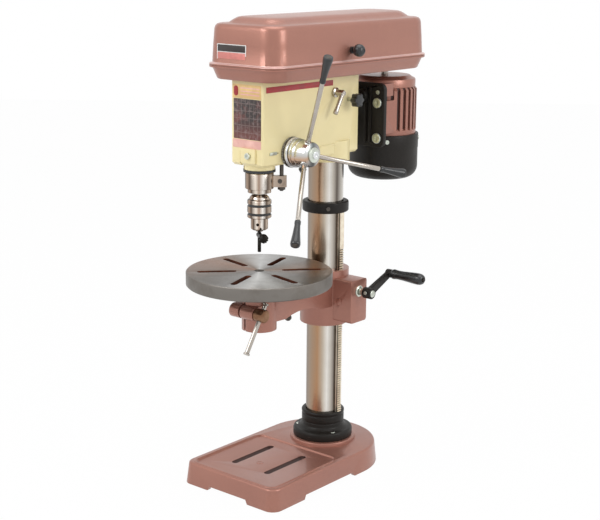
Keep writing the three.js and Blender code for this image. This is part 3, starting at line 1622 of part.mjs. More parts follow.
const machine = new THREE.Group();
machine.add(
  buildStand(),
  buildTable(),
  buildHead(),
  buildCover(),
  buildDrive(),
  buildMotor(),
  buildFeed(),
  buildSpindle(),
);

// The origin is the middle of the machine's footprint, on the ground.
const extent = new THREE.Box3().setFromObject(machine);
const middle = extent.getCenter(new THREE.Vector3());
machine.position.set(-middle.x, -middle.y, -extent.min.z);

export default machine;
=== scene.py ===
"""Benchtop drill press: detailed pieces and finishes over the fixed frame."""

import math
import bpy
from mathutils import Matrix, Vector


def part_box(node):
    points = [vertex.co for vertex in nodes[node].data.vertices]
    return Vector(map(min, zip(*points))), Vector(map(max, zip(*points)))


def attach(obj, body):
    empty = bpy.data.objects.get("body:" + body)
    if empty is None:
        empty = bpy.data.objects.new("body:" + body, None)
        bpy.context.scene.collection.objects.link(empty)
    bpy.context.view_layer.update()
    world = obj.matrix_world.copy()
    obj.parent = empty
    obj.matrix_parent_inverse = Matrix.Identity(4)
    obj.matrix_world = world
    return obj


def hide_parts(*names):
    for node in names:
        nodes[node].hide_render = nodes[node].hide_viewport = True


bl_info = {
    "name": "Benchtop Drill Press",
    "version": (1, 0, 0),
    "blender": (4, 5, 0),
    "location": "3D View > Sidebar > Drill Press",
    "description": "Dresses a benchtop drill press with detailed pieces and finishes",
    "category": "Object",
}

import bpy
from bpy.props import FloatProperty, FloatVectorProperty, IntProperty, PointerProperty
from mathutils import Matrix, Vector

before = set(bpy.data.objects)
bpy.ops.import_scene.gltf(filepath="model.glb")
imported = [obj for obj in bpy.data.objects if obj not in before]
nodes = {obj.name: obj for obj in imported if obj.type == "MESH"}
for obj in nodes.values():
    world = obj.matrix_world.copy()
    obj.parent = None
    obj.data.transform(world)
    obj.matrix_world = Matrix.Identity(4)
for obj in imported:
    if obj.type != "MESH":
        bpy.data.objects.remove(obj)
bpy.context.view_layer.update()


# Places, in millimetres from the column's axis at the ground


COLUMN_AXIS = Vector((-30.0, 40.5, 0.0))
SPINDLE_Y = -206.0
MOTOR_Y = 195.0
FEED_Y, FEED_Z = -160.0, 685.0
CLAMP_Y, CLAMP_Z = -244, 372
CRANK_Z = 383
CRANK_PIN_Y, CRANK_PIN_Z = 70, 412
LEVER_Y, LEVER_Z = -27, 790
TENSION_Y, TENSION_Z = 18, 772
HINGE_X, HINGE_Z = -101, 852
HINGE_YS = (-140, 110)
HEAD_FRONT = -242
HEAD_SIDE = 41.3
BASE_SLOT_X = 44
STOP_ROD_REACH = 43
KEY_Z = 521.5

# Plans of the rounded plates: front and rear in Y, half the width, front and rear corners
BASE_PLAN = (-303, 110, 125, 22, 124.6)
BASE_HOLLOW_PLAN = (-294, 101, 116, 14, 115.6)
COVER_PLAN = (-270, 240, 94.5, 40, 48)

UP = Vector((0, 0, 1))
RIGHT = Vector((1, 0, 0))
LEFT = Vector((-1, 0, 0))
BACK = Vector((0, 1, 0))
FRONT = Vector((0, -1, 0))


def at(x, y, z):
    """The place that many millimetres from the foot of the column's axis."""
    return (COLUMN_AXIS + Vector((x, y, z))) / 1000


def mm(length):
    return length / 1000


def spot_of(face):
    """Where a face lies, in millimetres from the foot of the column's axis."""
    return (face.center - at(0, 0, 0)) * 1000


def reach_of(spot, y):
    """How far a spot lies from the upright axis at that Y."""
    return math.hypot(spot.x, spot.y - y)


# Settings


def colour_prop(name, description, default):
    return FloatVectorProperty(
        name=name, description=description, subtype="COLOR", size=3, min=0, max=1, default=default
    )


def length_prop(name, description, default):
    return FloatProperty(name=name, description=description, unit="LENGTH", min=0, default=default)


def count_prop(name, description, default, low):
    return IntProperty(name=name, description=description, min=low, default=default)


def angle_prop(name, description, degrees):
    return FloatProperty(
        name=name, description=description, subtype="ANGLE", default=math.radians(degrees)
    )


class DrillPressColours(bpy.types.PropertyGroup):
    """Colours of the enamels, metals and plastics."""

    rose: colour_prop("Rose enamel", "Base, bracket, cover and motor", (0.256, 0.113, 0.082))
    rose_shade: colour_prop("Rose shade", "Darker drifts in the rose enamel", (0.188, 0.082, 0.066))
    cream: colour_prop("Cream enamel", "Head casting", (0.92, 0.79, 0.43))
    black: colour_prop("Black enamel", "Foot, collar, mount, fan cover", (0.0105, 0.0088, 0.007))
    iron: colour_prop("Turned iron", "Rim and underside of the work table", (0.22, 0.205, 0.188))
    steel: colour_prop("Ground steel", "Slide bars of the motor", (0.6, 0.585, 0.56))
    chrome: colour_prop("Chrome", "Rod seats and the dial's rim", (0.78, 0.79, 0.8))
    dark_steel: colour_prop("Dark steel", "Dial, lock and small pieces", (0.07, 0.062, 0.055))
    zinc: colour_prop("Zinc", "Bolt heads, hub cap and hinge pin", (0.7, 0.74, 0.66))
    plastic: colour_prop("Black plastic", "Grips and knobs", (0.011, 0.012, 0.013))


class DrillPressSizes(bpy.types.PropertyGroup):
    """Sizes of the dressing."""

    fine_edge: length_prop("Fine edge", "Rounding of a machined edge", 0.0005)
    turn_steps: count_prop("Turned faces", "Faces round a turned piece", 96, 24)
    motor_fins: count_prop("Motor fins", "Cooling fins round the motor", 30, 12)
    table_slots: count_prop("Table slots", "Slots in the work table", 6, 3)
    dial_ticks: count_prop("Dial marks", "Marks round the depth dial", 60, 12)


class DrillPressStage(bpy.types.PropertyGroup):
    """Camera."""

    lens: FloatProperty(
        name="Lens", description="Focal length", default=80.64, min=10, unit="CAMERA"
    )
    yaw: angle_prop("Yaw", "Camera heading", 39.87)
    pitch: angle_prop("Pitch", "Camera downward tilt", 13.53)
    roll: angle_prop("Roll", "Camera roll", 0.5)


def colours():
    return bpy.context.scene.drill_press_colours


def sizes():
    return bpy.context.scene.drill_press_sizes


# Selection and modes


def deselect():
    if bpy.context.object and bpy.context.object.mode != "OBJECT":
        bpy.ops.object.mode_set(mode="OBJECT")
    bpy.ops.object.select_all(action="DESELECT")


def pick(piece):
    deselect()
    piece.select_set(True)
    bpy.context.view_layer.objects.active = piece


def edit(piece, kind="VERT"):
    pick(piece)
    bpy.ops.object.mode_set(mode="EDIT")
    bpy.ops.mesh.select_mode(type=kind)
    bpy.ops.mesh.select_all(action="DESELECT")


def choose(piece, kind, test):
    """Selects the vertices, edges or faces that pass a test, and stays in edit mode."""
    edit(piece, {"vertices": "VERT", "edges": "EDGE", "polygons": "FACE"}[kind])
    bpy.ops.object.mode_set(mode="OBJECT")
    for part in getattr(piece.data, kind):
        part.select = bool(test(part))
    bpy.ops.object.mode_set(mode="EDIT")


def leave():
    bpy.ops.object.mode_set(mode="OBJECT")


def settle(name):
    """Names the active piece and puts its place into its mesh."""
    piece = bpy.context.object
    piece.name = name
    piece.data.name = name
    bpy.ops.object.transform_apply(location=True, rotation=True, scale=True)
    return piece


def run_modifier(piece, kind, **settings):
    pick(piece)
    modifier = piece.modifiers.new(kind.title(), kind)
    for name, value in settings.items():
        setattr(modifier, name, value)
    bpy.ops.object.modifier_apply(modifier=modifier.name)
    return piece


# Forms


def closed(profile):
    """A profile that ends where it starts, for a ring or a tube."""
    return [*profile, profile[0]]


def quarter(centre, across, rise):
    """Ten steps of a quarter of an ellipse, from under its centre to beside it."""
    angles = [math.radians(9 * step) for step in range(11)]
    return [(centre[0] + across * math.sin(a), centre[1] - rise * math.cos(a)) for a in angles]


def spun(name, profile, origin, heading=UP, steps=None):
    """A turned piece: pairs of radius and station in millimetres, spun round a line."""
    steps = steps or sizes().turn_steps
    heading = heading.normalized()
    side = heading.orthogonal().normalized()
    points = [origin + (side * radius + heading * station) / 1000 for radius, station in profile]
    deselect()
    bpy.ops.mesh.primitive_plane_add(size=0.01, location=(0, 0, 0))
    piece = bpy.context.object
    edit(piece)
    bpy.ops.mesh.select_all(action="SELECT")
    bpy.ops.mesh.merge(type="CENTER")
    bpy.ops.transform.translate(value=points[0])
    for start, end in zip(points, points[1:]):
        bpy.ops.mesh.extrude_region_move(TRANSFORM_OT_translate={"value": end - start})
    bpy.ops.mesh.select_all(action="SELECT")
    bpy.ops.mesh.spin(steps=steps, angle=math.tau, center=origin, axis=heading)
    bpy.ops.mesh.select_all(action="SELECT")
    bpy.ops.mesh.remove_doubles(threshold=0.000004)
    bpy.ops.mesh.normals_make_consistent(inside=False)
    leave()
    return settle(name)


def block(name, low, high):
    deselect()
    bpy.ops.mesh.primitive_cube_add(size=1, location=(low + high) / 2, scale=high - low)
    return settle(name)


def round_along(piece, axis, radius, segments=8):
    """Rounds the edges that run along one axis."""
    points = piece.data.vertices

    def runs(edge):
        along = points[edge.vertices[1]].co - points[edge.vertices[0]].co
        return abs(along.normalized()[axis]) > 0.999

    choose(piece, "edges", runs)
    bpy.ops.mesh.bevel(offset=radius, segments=segments, affect="EDGES")
    leave()
    return piece


def slot_block(name, start, end, width, low, high):
    """An upright bar with round ends between two places in X and Y, for cutting slots."""
    run = end - start
    half = mm(width) / 2
    far = Vector((run.length + half, half, mm(high)))
    piece = block(name, Vector((-half, -half, mm(low))), far)
    round_along(piece, 2, half * 0.995, 10)
    pick(piece)
    piece.rotation_euler.z = math.atan2(run.y, run.x)
    piece.location = (start.x, start.y, 0)
    return settle(name)


def star_slots(name, number, y, inner, outer, lean, *spans):
    """Cutters for slots that run outwards from an upright axis."""
    cutters = []
    for index in range(number):
        a = math.radians(lean + 360 / number * index)
        start, end = (at(r * math.cos(a), y + r * math.sin(a), 0) for r in (inner, outer))
        cutters.append(slot_block(f"{name}_{index}", start, end, *spans))
    return cutters


def plate_rings(name, plan, rings):
    """A rounded plate raised through rings of inset and height in millimetres; both ends closed."""
    front, rear, half, front_corner, rear_corner = plan
    middle = (front + rear) / 2
    along = (rear - front) / 2
    inset, height = rings[0]
    deselect()
    bpy.ops.mesh.primitive_plane_add(size=2, location=at(0, middle, height))
    piece = bpy.context.object
    piece.scale = (mm(half), mm(along), 1)
    bpy.ops.object.transform_apply(location=False, rotation=False, scale=True)
    for sign, corner in ((-1, front_corner), (1, rear_corner)):
        choose(piece, "vertices", lambda vertex: vertex.co.y * sign > mm(along) * 0.999)
        bpy.ops.mesh.bevel(offset=mm(corner), segments=14, affect="VERTICES")
        leave()

    def squeeze(old, new, level):
        factors = ((half - new) / (half - old), (along - new) / (along - old), 1)
        bpy.ops.transform.resize(value=factors, center_override=at(0, middle, level))

    edit(piece, "FACE")
    bpy.ops.mesh.select_all(action="SELECT")
    squeeze(0, inset, height)
    for new_inset, new_height in rings[1:]:
        rise = (0, 0, mm(new_height - height))
        bpy.ops.mesh.extrude_region_move(TRANSFORM_OT_translate={"value": rise})
        squeeze(inset, new_inset, new_height)
        inset, height = new_inset, new_height
    bpy.ops.mesh.select_all(action="SELECT")
    bpy.ops.mesh.normals_make_consistent(inside=False)
    leave()
    return settle(name)


def foot_arch(name, low, high, axis):
    """A cutter for the clear space between two feet, with sloping ends."""
    piece = block(name, low, high)
    middle = (low + high) / 2
    choose(piece, "vertices", lambda vertex: vertex.co.z > middle.z)
    factors = [1.0, 1.0, 1.0]
    factors[axis] = 1 - mm(16) / (high - low)[axis]
    bpy.ops.transform.resize(value=factors, center_override=(middle.x, middle.y, high.z))
    leave()
    return piece


def carve(piece, *cutters):
    for cutter in cutters:
        run_modifier(piece, "BOOLEAN", operation="DIFFERENCE", solver="EXACT", object=cutter)
        bpy.data.objects.remove(cutter)
    return piece


def unite(piece, *others):
    for other in others:
        run_modifier(piece, "BOOLEAN", operation="UNION", solver="EXACT", object=other)
        bpy.data.objects.remove(other)
    return piece


def gather(name, *parts):
    """Joins loose parts into one piece."""
    deselect()
    for part in parts:
        part.select_set(True)
    bpy.context.view_layer.objects.active = parts[0]
    bpy.ops.object.join()
    return settle(name)


def move(piece, name, turn=None, shift=None):
    """Turns a piece by an angle about an axis through a place, then shifts it."""
    pick(piece)
    if turn is not None:
        angle, axis, centre = turn
        spin = Matrix.Rotation(angle, 4, axis)
        spin = Matrix.Translation(centre) @ spin @ Matrix.Translation(-centre)
        piece.matrix_world = spin @ piece.matrix_world
    if shift is not None:
        piece.location += shift
    return settle(name)


def twin(piece, name, **moves):
    """A copy with its own mesh, turned or shifted."""
    pick(piece)
    bpy.ops.object.duplicate(linked=False)
    return move(bpy.context.object, name, **moves)


def copy_of(node, name):
    """The node's own form as a new piece, merged and cleaned so that it can be shaped on."""
    piece = bpy.data.objects.new(name, nodes[node].data.copy())
    bpy.context.scene.collection.objects.link(piece)
    edit(piece)
    bpy.ops.mesh.select_all(action="SELECT")
    bpy.ops.mesh.remove_doubles(threshold=0.00002)
    bpy.ops.mesh.customdata_custom_splitnormals_clear()
    bpy.ops.mesh.dissolve_limited(angle_limit=math.radians(0.5))
    leave()
    return piece


def soften(piece, edge=0, angle=28, smooth=33, segments=2):
    """Rounds the edges sharper than an angle by some millimetres, and smooths the rest."""
    if edge:
        run_modifier(
            piece, "BEVEL", width=mm(edge), segments=segments, limit_method="ANGLE",
            angle_limit=math.radians(angle), miter_outer="MITER_ARC", harden_normals=False,
        )
    pick(piece)
    bpy.ops.object.shade_smooth_by_angle(angle=math.radians(smooth))
    return piece


def bolt(name, place, heading, radius, height, sides=6):
    """A bolt head with a socket in it; one of four sides reads as a cross."""
    profile = [
        (0, 0), (radius, 0), (radius, height * 0.75), (radius * 0.94, height * 0.95),
        (radius * 0.8, height), (0, height),
    ]
    head = spun(name, profile, place, heading, 32)
    deselect()
    bpy.ops.mesh.primitive_cylinder_add(
        vertices=sides, radius=mm(radius * 0.45), depth=mm(height * 0.8),
        location=place + heading.normalized() * mm(height),
        rotation=UP.rotation_difference(heading).to_euler(),
    )
    return soften(carve(head, settle(name + "_socket")), 0.2)


# Finishes


class Tone:
    """A number that varies over a surface. Sums and products on it add Math nodes."""

    def __init__(self, finish, socket):
        self.finish = finish
        self.socket = socket

    def maths(self, operation, *values):
        return self.finish.tone("ShaderNodeMath", {"operation": operation}, dict(enumerate(values)))

    def __add__(self, other):
        return self.maths("ADD", self, other)

    def __sub__(self, other):
        return self.maths("SUBTRACT", self, other)

    def __rsub__(self, other):
        return self.maths("SUBTRACT", other, self)

    def __mul__(self, other):
        return self.maths("MULTIPLY", self, other)

    def __gt__(self, other):
        return self.maths("GREATER_THAN", self, other)

    def __lt__(self, other):
        return self.maths("LESS_THAN", self, other)

    __radd__ = __add__
    __rmul__ = __mul__

    def ramp(self, low, high):
        """The share of the way from low to high, held between 0 and 1."""
        return self.finish.tone("ShaderNodeMapRange", {"clamp": True}, {0: self, 1: low, 2: high})

    def or_more(self, other):
        return self.maths("MAXIMUM", self, other)

    def size(self):
        return self.maths("ABSOLUTE", self)

    def fraction(self):
        return self.maths("FRACT", self)


class NodeWork:
    """A cleared node tree and the one method that adds nodes to it."""

    def __init__(self, owner):
        owner.use_nodes = True
        self.tree = owner.node_tree
        self.nodes = self.tree.nodes
        self.nodes.clear()

    def node(self, kind, settings, values):
        """Adds a node: its settings first, then the values or links of its sockets."""
        node = self.nodes.new(kind)
        for name, value in settings.items():
            if name == "stops":
                self.set_stops(node.color_ramp.elements, value)
            else:
                setattr(node, name, value)
        for key, value in values.items():
            self.feed(node.inputs[key], value)
        return node

    def set_stops(self, elements, stops):
        """Gives a ramp its stops; a new ramp has two."""
        for index, (position, shade) in enumerate(stops):
            stop = elements[index] if index < 2 else elements.new(position)
            stop.position = position
            stop.color = (*shade, 1)

    def feed(self, socket, value):
        if isinstance(value, Tone):
            value = value.socket
        if isinstance(value, bpy.types.NodeSocket):
            self.tree.links.new(value, socket)
        elif socket.type == "RGBA" and len(value) == 3:
            socket.default_value = (*value, 1)
        else:
            socket.default_value = value

    def tone(self, kind, settings, values, output=0):
        return Tone(self, self.node(kind, settings, values).outputs[output])

    def seen(self, share):
        """A share of one for the rays of the camera, of metal and of glass."""
        path = self.node("ShaderNodeLightPath", {}, {}).outputs
        rays = (Tone(self, path[f"Is {kind} Ray"]) for kind in ("Camera", "Glossy", "Transmission"))
        camera, glossy, clear = rays
        return (camera + glossy + clear).ramp(0, 1) * share


class Finish(NodeWork):
    """The node tree of one material."""

    def __init__(self, name, slot, **constants):
        self.slot = slot
        self.material = bpy.data.materials.new(name)
        super().__init__(self.material)
        sockets = {key.replace("_", " "): value for key, value in constants.items()}
        self.shader = self.node("ShaderNodeBsdfPrincipled", {}, sockets)
        self.node("ShaderNodeOutputMaterial", {}, {"Surface": self.shader.outputs[0]})
        self.place = self.node("ShaderNodeTexCoord", {}, {}).outputs["Object"]

    def noise(self, scale, detail=3.0, roughness=0.55):
        sockets = {"Vector": self.place, "Scale": scale, "Detail": detail, "Roughness": roughness}
        return self.tone("ShaderNodeTexNoise", {}, sockets)

    def streak(self, along, scale, detail=3.0):
        """Noise that varies along one number only, such as a turned piece's radius."""
        sockets = {"W": along, "Scale": scale, "Detail": detail}
        return self.tone("ShaderNodeTexNoise", {"noise_dimensions": "1D"}, sockets)

    def cells(self, scale):
        return self.tone("ShaderNodeTexVoronoi", {}, {"Vector": self.place, "Scale": scale})

    def stretched(self, factors, centre):
        """The place on the piece, moved to a centre and stretched."""
        shift = tuple(-part * factor for part, factor in zip(centre, factors))
        sockets = {"Vector": self.place, "Location": shift, "Scale": factors}
        return self.node("ShaderNodeMapping", {}, sockets).outputs[0]

    def reach(self, centre):
        """The distance from the upright axis through a centre."""
        flat = self.stretched((1, 1, 0), centre)
        return self.tone("ShaderNodeVectorMath", {"operation": "LENGTH"}, {0: flat}, "Value")

    def along(self, axis, where=None):
        return self.tone("ShaderNodeSeparateXYZ", {}, {0: where or self.place}, axis)

    def bearing(self, centre, axes):
        """How far round an axis a place lies, from 0 to 1, in the plane of two others."""
        where = self.stretched((1, 1, 1), centre)
        first, second = (self.along(axis, where) for axis in axes)
        return first.maths("ARCTAN2", second, first) * (1 / math.tau) + 0.5

    def painted_reflections(self, centre, stops, axes="XY"):
        """Painted reflections: colours in soft bands of highlight and shade that run along an axis.
        """
        ramp = self.node("ShaderNodeValToRGB", {"stops": stops}, {0: self.bearing(centre, axes)})
        return ramp.outputs[0]

    def blend(self, factor, first, second):
        sockets = {0: factor, 6: first, 7: second}
        return self.node("ShaderNodeMix", {"data_type": "RGBA"}, sockets).outputs[2]

    def coat(self, **sockets):
        """Feeds the shader's sockets that vary."""
        for name, value in sockets.items():
            self.feed(self.shader.inputs[name.replace("_", " ")], value)
        return self

    def relief(self, height, distance, strength=1.0):
        sockets = {"Height": height, "Distance": distance, "Strength": strength}
        return self.coat(Normal=self.node("ShaderNodeBump", {}, sockets).outputs[0])


def enamel(
    name, slot, first, second, flake=0.0, gloss=0.3, metal=0.0, peel=0.00025, clear=0.25, shine=0.5
):
    """Sprayed enamel: drifting colour, fine flake, orange peel and a clear gloss."""
    finish = Finish(
        name, slot, Metallic=metal, Coat_Weight=clear, Coat_Roughness=0.1, Specular_IOR_Level=shine
    )
    drift = finish.noise(7, 3).ramp(0.35, 0.7)
    base = finish.blend(drift, first, second)
    if flake:
        spark = finish.cells(1500).ramp(0.12, 0.5)
        bright = tuple(min(1, part * (1 + flake)) for part in first)
        base = finish.blend(spark * 0.55, bright, base)
    dust = finish.noise(55, 4).ramp(0.62, 0.9)
    finish.coat(Base_Color=base, Roughness=gloss + 0.12 * finish.noise(24, 3) + 0.15 * dust)
    return finish.relief(finish.noise(330, 2), peel, 0.5)


def turned_metal(name, slot, first, second, centre, gloss):
    """Turned metal: fine rings round an upright axis, faint stains."""
    finish = Finish(name, slot, Metallic=1.0)
    rings = finish.streak(finish.reach(centre), 900, 4)
    stain = finish.noise(14, 5, 0.65).ramp(0.45, 0.75)
    base = finish.blend(stain * 0.75 + 0.25 * rings, first, second)
    finish.coat(Base_Color=base, Roughness=gloss + 0.22 * (rings - 0.5) + 0.12 * stain)
    return finish.relief(rings, 0.00004, 0.6)


def turned_face(name, slot, stops, centre):
    """A faced disc: fine rings, and a painted sheen: a fan of light and dark sectors in its colour.
    """
    finish = Finish(name, slot, Metallic=1.0)
    rings = finish.streak(finish.reach(centre), 900, 4)
    stain = finish.noise(14, 5, 0.65).ramp(0.45, 0.75)
    # Painted sheen: lighter and darker sectors round the axis, in the colour
    fan = finish.painted_reflections(centre, stops)
    base = finish.blend(stain * 0.3 + 0.2 * rings, fan, (0.15, 0.13, 0.11))
    finish.coat(Base_Color=base, Roughness=0.34 + 0.2 * (rings - 0.5) + 0.12 * stain)
    return finish.relief(rings, 0.0002, 0.7)


def lengthwise_metal(name, slot, first, second, axis="Z", gloss=0.22, lines=1100):
    """Ground bar: the grinding lines lie across its length."""
    finish = Finish(name, slot, Metallic=1.0)
    lay = finish.streak(finish.along(axis), lines, 4)
    broad = finish.streak(finish.along(axis), 40, 3)
    stain = finish.noise(30, 5, 0.65).ramp(0.5, 0.85)
    base = finish.blend(stain * 0.6 + 0.3 * broad, first, second)
    finish.coat(Base_Color=base, Roughness=gloss + 0.16 * (lay - 0.5) + 0.1 * broad)
    return finish.relief(lay, 0.00003, 0.5)


def drawn(name, slot, stops, centre, gloss=0.2, wipe=0.35, axes="XY", knurls=0):
    """Drawn and wiped steel: painted reflections in soft bands of highlight and shade along an
    axis, faint wiped stains, then lines or knurls.
    """
    finish = Finish(name, slot, Metallic=1.0)
    lines = finish.streak(finish.bearing(centre, axes), 240, 3)
    stain = finish.noise(9, 4, 0.6).ramp(0.4, 0.8)
    # Painted reflections: bands of highlight and shade round the axis, fixed in the colour
    base = finish.painted_reflections(centre, stops, axes)
    base = finish.blend(stain * wipe, base, (0.3, 0.25, 0.2))
    finish.coat(Base_Color=base, Roughness=gloss + 0.1 * (lines - 0.5) + 0.08 * stain)
    if knurls:
        cuts = (finish.bearing(centre, axes) * knurls).fraction() - 0.5
        return finish.relief(cuts.size(), 0.0004, 0.8)
    return finish.relief(lines, 0.00002, 0.4)


def toothed(name, slot, root, tip):
    """A cut rack: painted shade darkening the tooth roots, and bright rubbed tips."""
    finish = Finish(name, slot, Metallic=1.0)
    # Painted shade: the colour darkens towards the roots of the teeth
    painted_root_shade = 1 - (finish.along("X") - root).size().ramp(mm(0.5), tip - root)
    mottle = finish.noise(60, 5, 0.65).ramp(0.4, 0.72)
    metal = finish.blend(mottle, (0.92, 0.83, 0.68), (0.66, 0.55, 0.42))
    base = finish.blend(painted_root_shade, metal, (0.025, 0.017, 0.012))
    finish.coat(Base_Color=base, Roughness=0.3 + 0.2 * painted_root_shade + 0.1 * mottle)
    return finish.relief(mottle, 0.00008, 0.5)


def polished(name, slot, shade, gloss):
    """Chrome: bright, with faint haze and fine wipes."""
    finish = Finish(name, slot, Metallic=1.0)
    haze = finish.noise(45, 4).ramp(0.4, 0.8)
    dim = tuple(part * 0.78 for part in shade)
    finish.coat(Base_Color=finish.blend(haze * 0.5, shade, dim), Roughness=gloss + 0.1 * haze)
    return finish.relief(finish.noise(120, 2), 0.00006, 0.25)


def oiled(name, slot, first, second, gloss=0.38):
    """Dark oiled steel: mottled, with brighter rubbed places."""
    finish = Finish(name, slot, Metallic=1.0)
    mottle = finish.noise(60, 5, 0.65).ramp(0.4, 0.72)
    base = finish.blend(mottle, first, second)
    finish.coat(Base_Color=base, Roughness=gloss + 0.2 * mottle)
    return finish.relief(finish.noise(240, 3), 0.0001, 0.6)


def moulded(name, slot, shade, gloss=0.28, grain=420):
    """Moulded plastic or rubber: faint grain and handling marks."""
    finish = Finish(name, slot, Metallic=0.0, Coat_Weight=0.2, Coat_Roughness=0.15)
    wear = finish.noise(38, 4).ramp(0.45, 0.8)
    pale = tuple(min(1, part * 1.5 + 0.006) for part in shade)
    finish.coat(Base_Color=finish.blend(wear, shade, pale), Roughness=gloss + 0.2 * wear)
    return finish.relief(finish.noise(grain, 3), 0.00012, 0.5)


def charted(name, slot):
    """A worn printed chart with no words: a faint grid of boxes on dark brown."""
    finish = Finish(name, slot, Metallic=0.0, Coat_Weight=0.3, Coat_Roughness=0.2)
    sway = finish.noise(26, 2) * 0.006
    across = ((finish.along("X") + sway) * 96).fraction()
    up = ((finish.along("Z") + sway) * 74).fraction()
    lines = (across < 0.12).or_more(up < 0.1)
    smear = finish.noise(150, 4, 0.7).ramp(0.5, 0.66)
    low = 1 - finish.along("Z").ramp(mm(722), mm(752))
    rust = finish.noise(30, 3).ramp(0.5, 0.7).or_more(low * 0.8)
    base = finish.blend(rust, (0.03, 0.02, 0.018), (0.17, 0.04, 0.03))
    base = finish.blend(smear * 0.5, base, (0.28, 0.2, 0.19))
    base = finish.blend(lines * 0.3, base, (0.36, 0.27, 0.25))
    return finish.coat(Base_Color=base, Roughness=0.35 + 0.2 * smear)


# Painted reflections and sheen, in bands round a piece: how far round, and the colour there

COLUMN_PAINTED_REFLECTIONS = [
    (0.0, (0.5, 0.46, 0.41)), (0.13, (0.09, 0.05, 0.03)), (0.2, (0.34, 0.27, 0.21)),
    (0.3, (0.42, 0.24, 0.13)), (0.345, (0.5, 0.42, 0.33)), (0.39, (0.78, 0.75, 0.7)),
    (0.43, (0.46, 0.42, 0.37)), (0.465, (0.11, 0.09, 0.075)), (0.51, (0.44, 0.41, 0.37)),
    (0.58, (0.7, 0.67, 0.62)), (0.7, (0.3, 0.22, 0.16)), (0.8, (0.7, 0.67, 0.63)),
    (0.9, (0.25, 0.2, 0.16)), (1.0, (0.5, 0.46, 0.41)),
]
CHUCK_PAINTED_REFLECTIONS = [
    (0.0, (0.5, 0.42, 0.35)), (0.15, (0.03, 0.02, 0.015)), (0.2, (0.42, 0.3, 0.22)),
    (0.25, (0.08, 0.05, 0.035)), (0.32, (0.92, 0.82, 0.72)), (0.36, (0.36, 0.24, 0.17)),
    (0.41, (0.95, 0.9, 0.84)), (0.46, (0.1, 0.07, 0.05)), (0.55, (0.66, 0.54, 0.44)),
    (0.62, (0.14, 0.09, 0.065)), (0.8, (0.7, 0.62, 0.54)), (1.0, (0.5, 0.42, 0.35)),
]
HUB_PAINTED_REFLECTIONS = [
    (0.0, (0.58, 0.56, 0.53)), (0.05, (0.55, 0.36, 0.24)), (0.11, (0.4, 0.36, 0.33)),
    (0.18, (0.16, 0.16, 0.16)), (0.25, (0.08, 0.08, 0.08)), (0.34, (0.5, 0.48, 0.46)),
    (0.5, (0.62, 0.6, 0.58)), (0.68, (0.3, 0.3, 0.3)), (0.76, (0.16, 0.18, 0.18)),
    (0.82, (0.5, 0.52, 0.51)), (0.87, (0.95, 0.97, 0.96)), (0.94, (0.74, 0.76, 0.75)),
    (1.0, (0.58, 0.56, 0.53)),
]
TABLE_PAINTED_SHEEN = [
    (0.0, (0.27, 0.13, 0.07)), (0.09, (0.2, 0.12, 0.08)), (0.2, (0.17, 0.155, 0.14)),
    (0.29, (0.22, 0.21, 0.2)), (0.355, (0.7, 0.7, 0.68)), (0.43, (0.24, 0.23, 0.215)),
    (0.54, (0.17, 0.155, 0.14)), (0.65, (0.22, 0.13, 0.08)), (0.76, (0.2, 0.185, 0.17)),
    (0.86, (0.62, 0.62, 0.61)), (0.93, (0.22, 0.16, 0.12)), (1.0, (0.27, 0.13, 0.07)),
]

FINISHES = {}


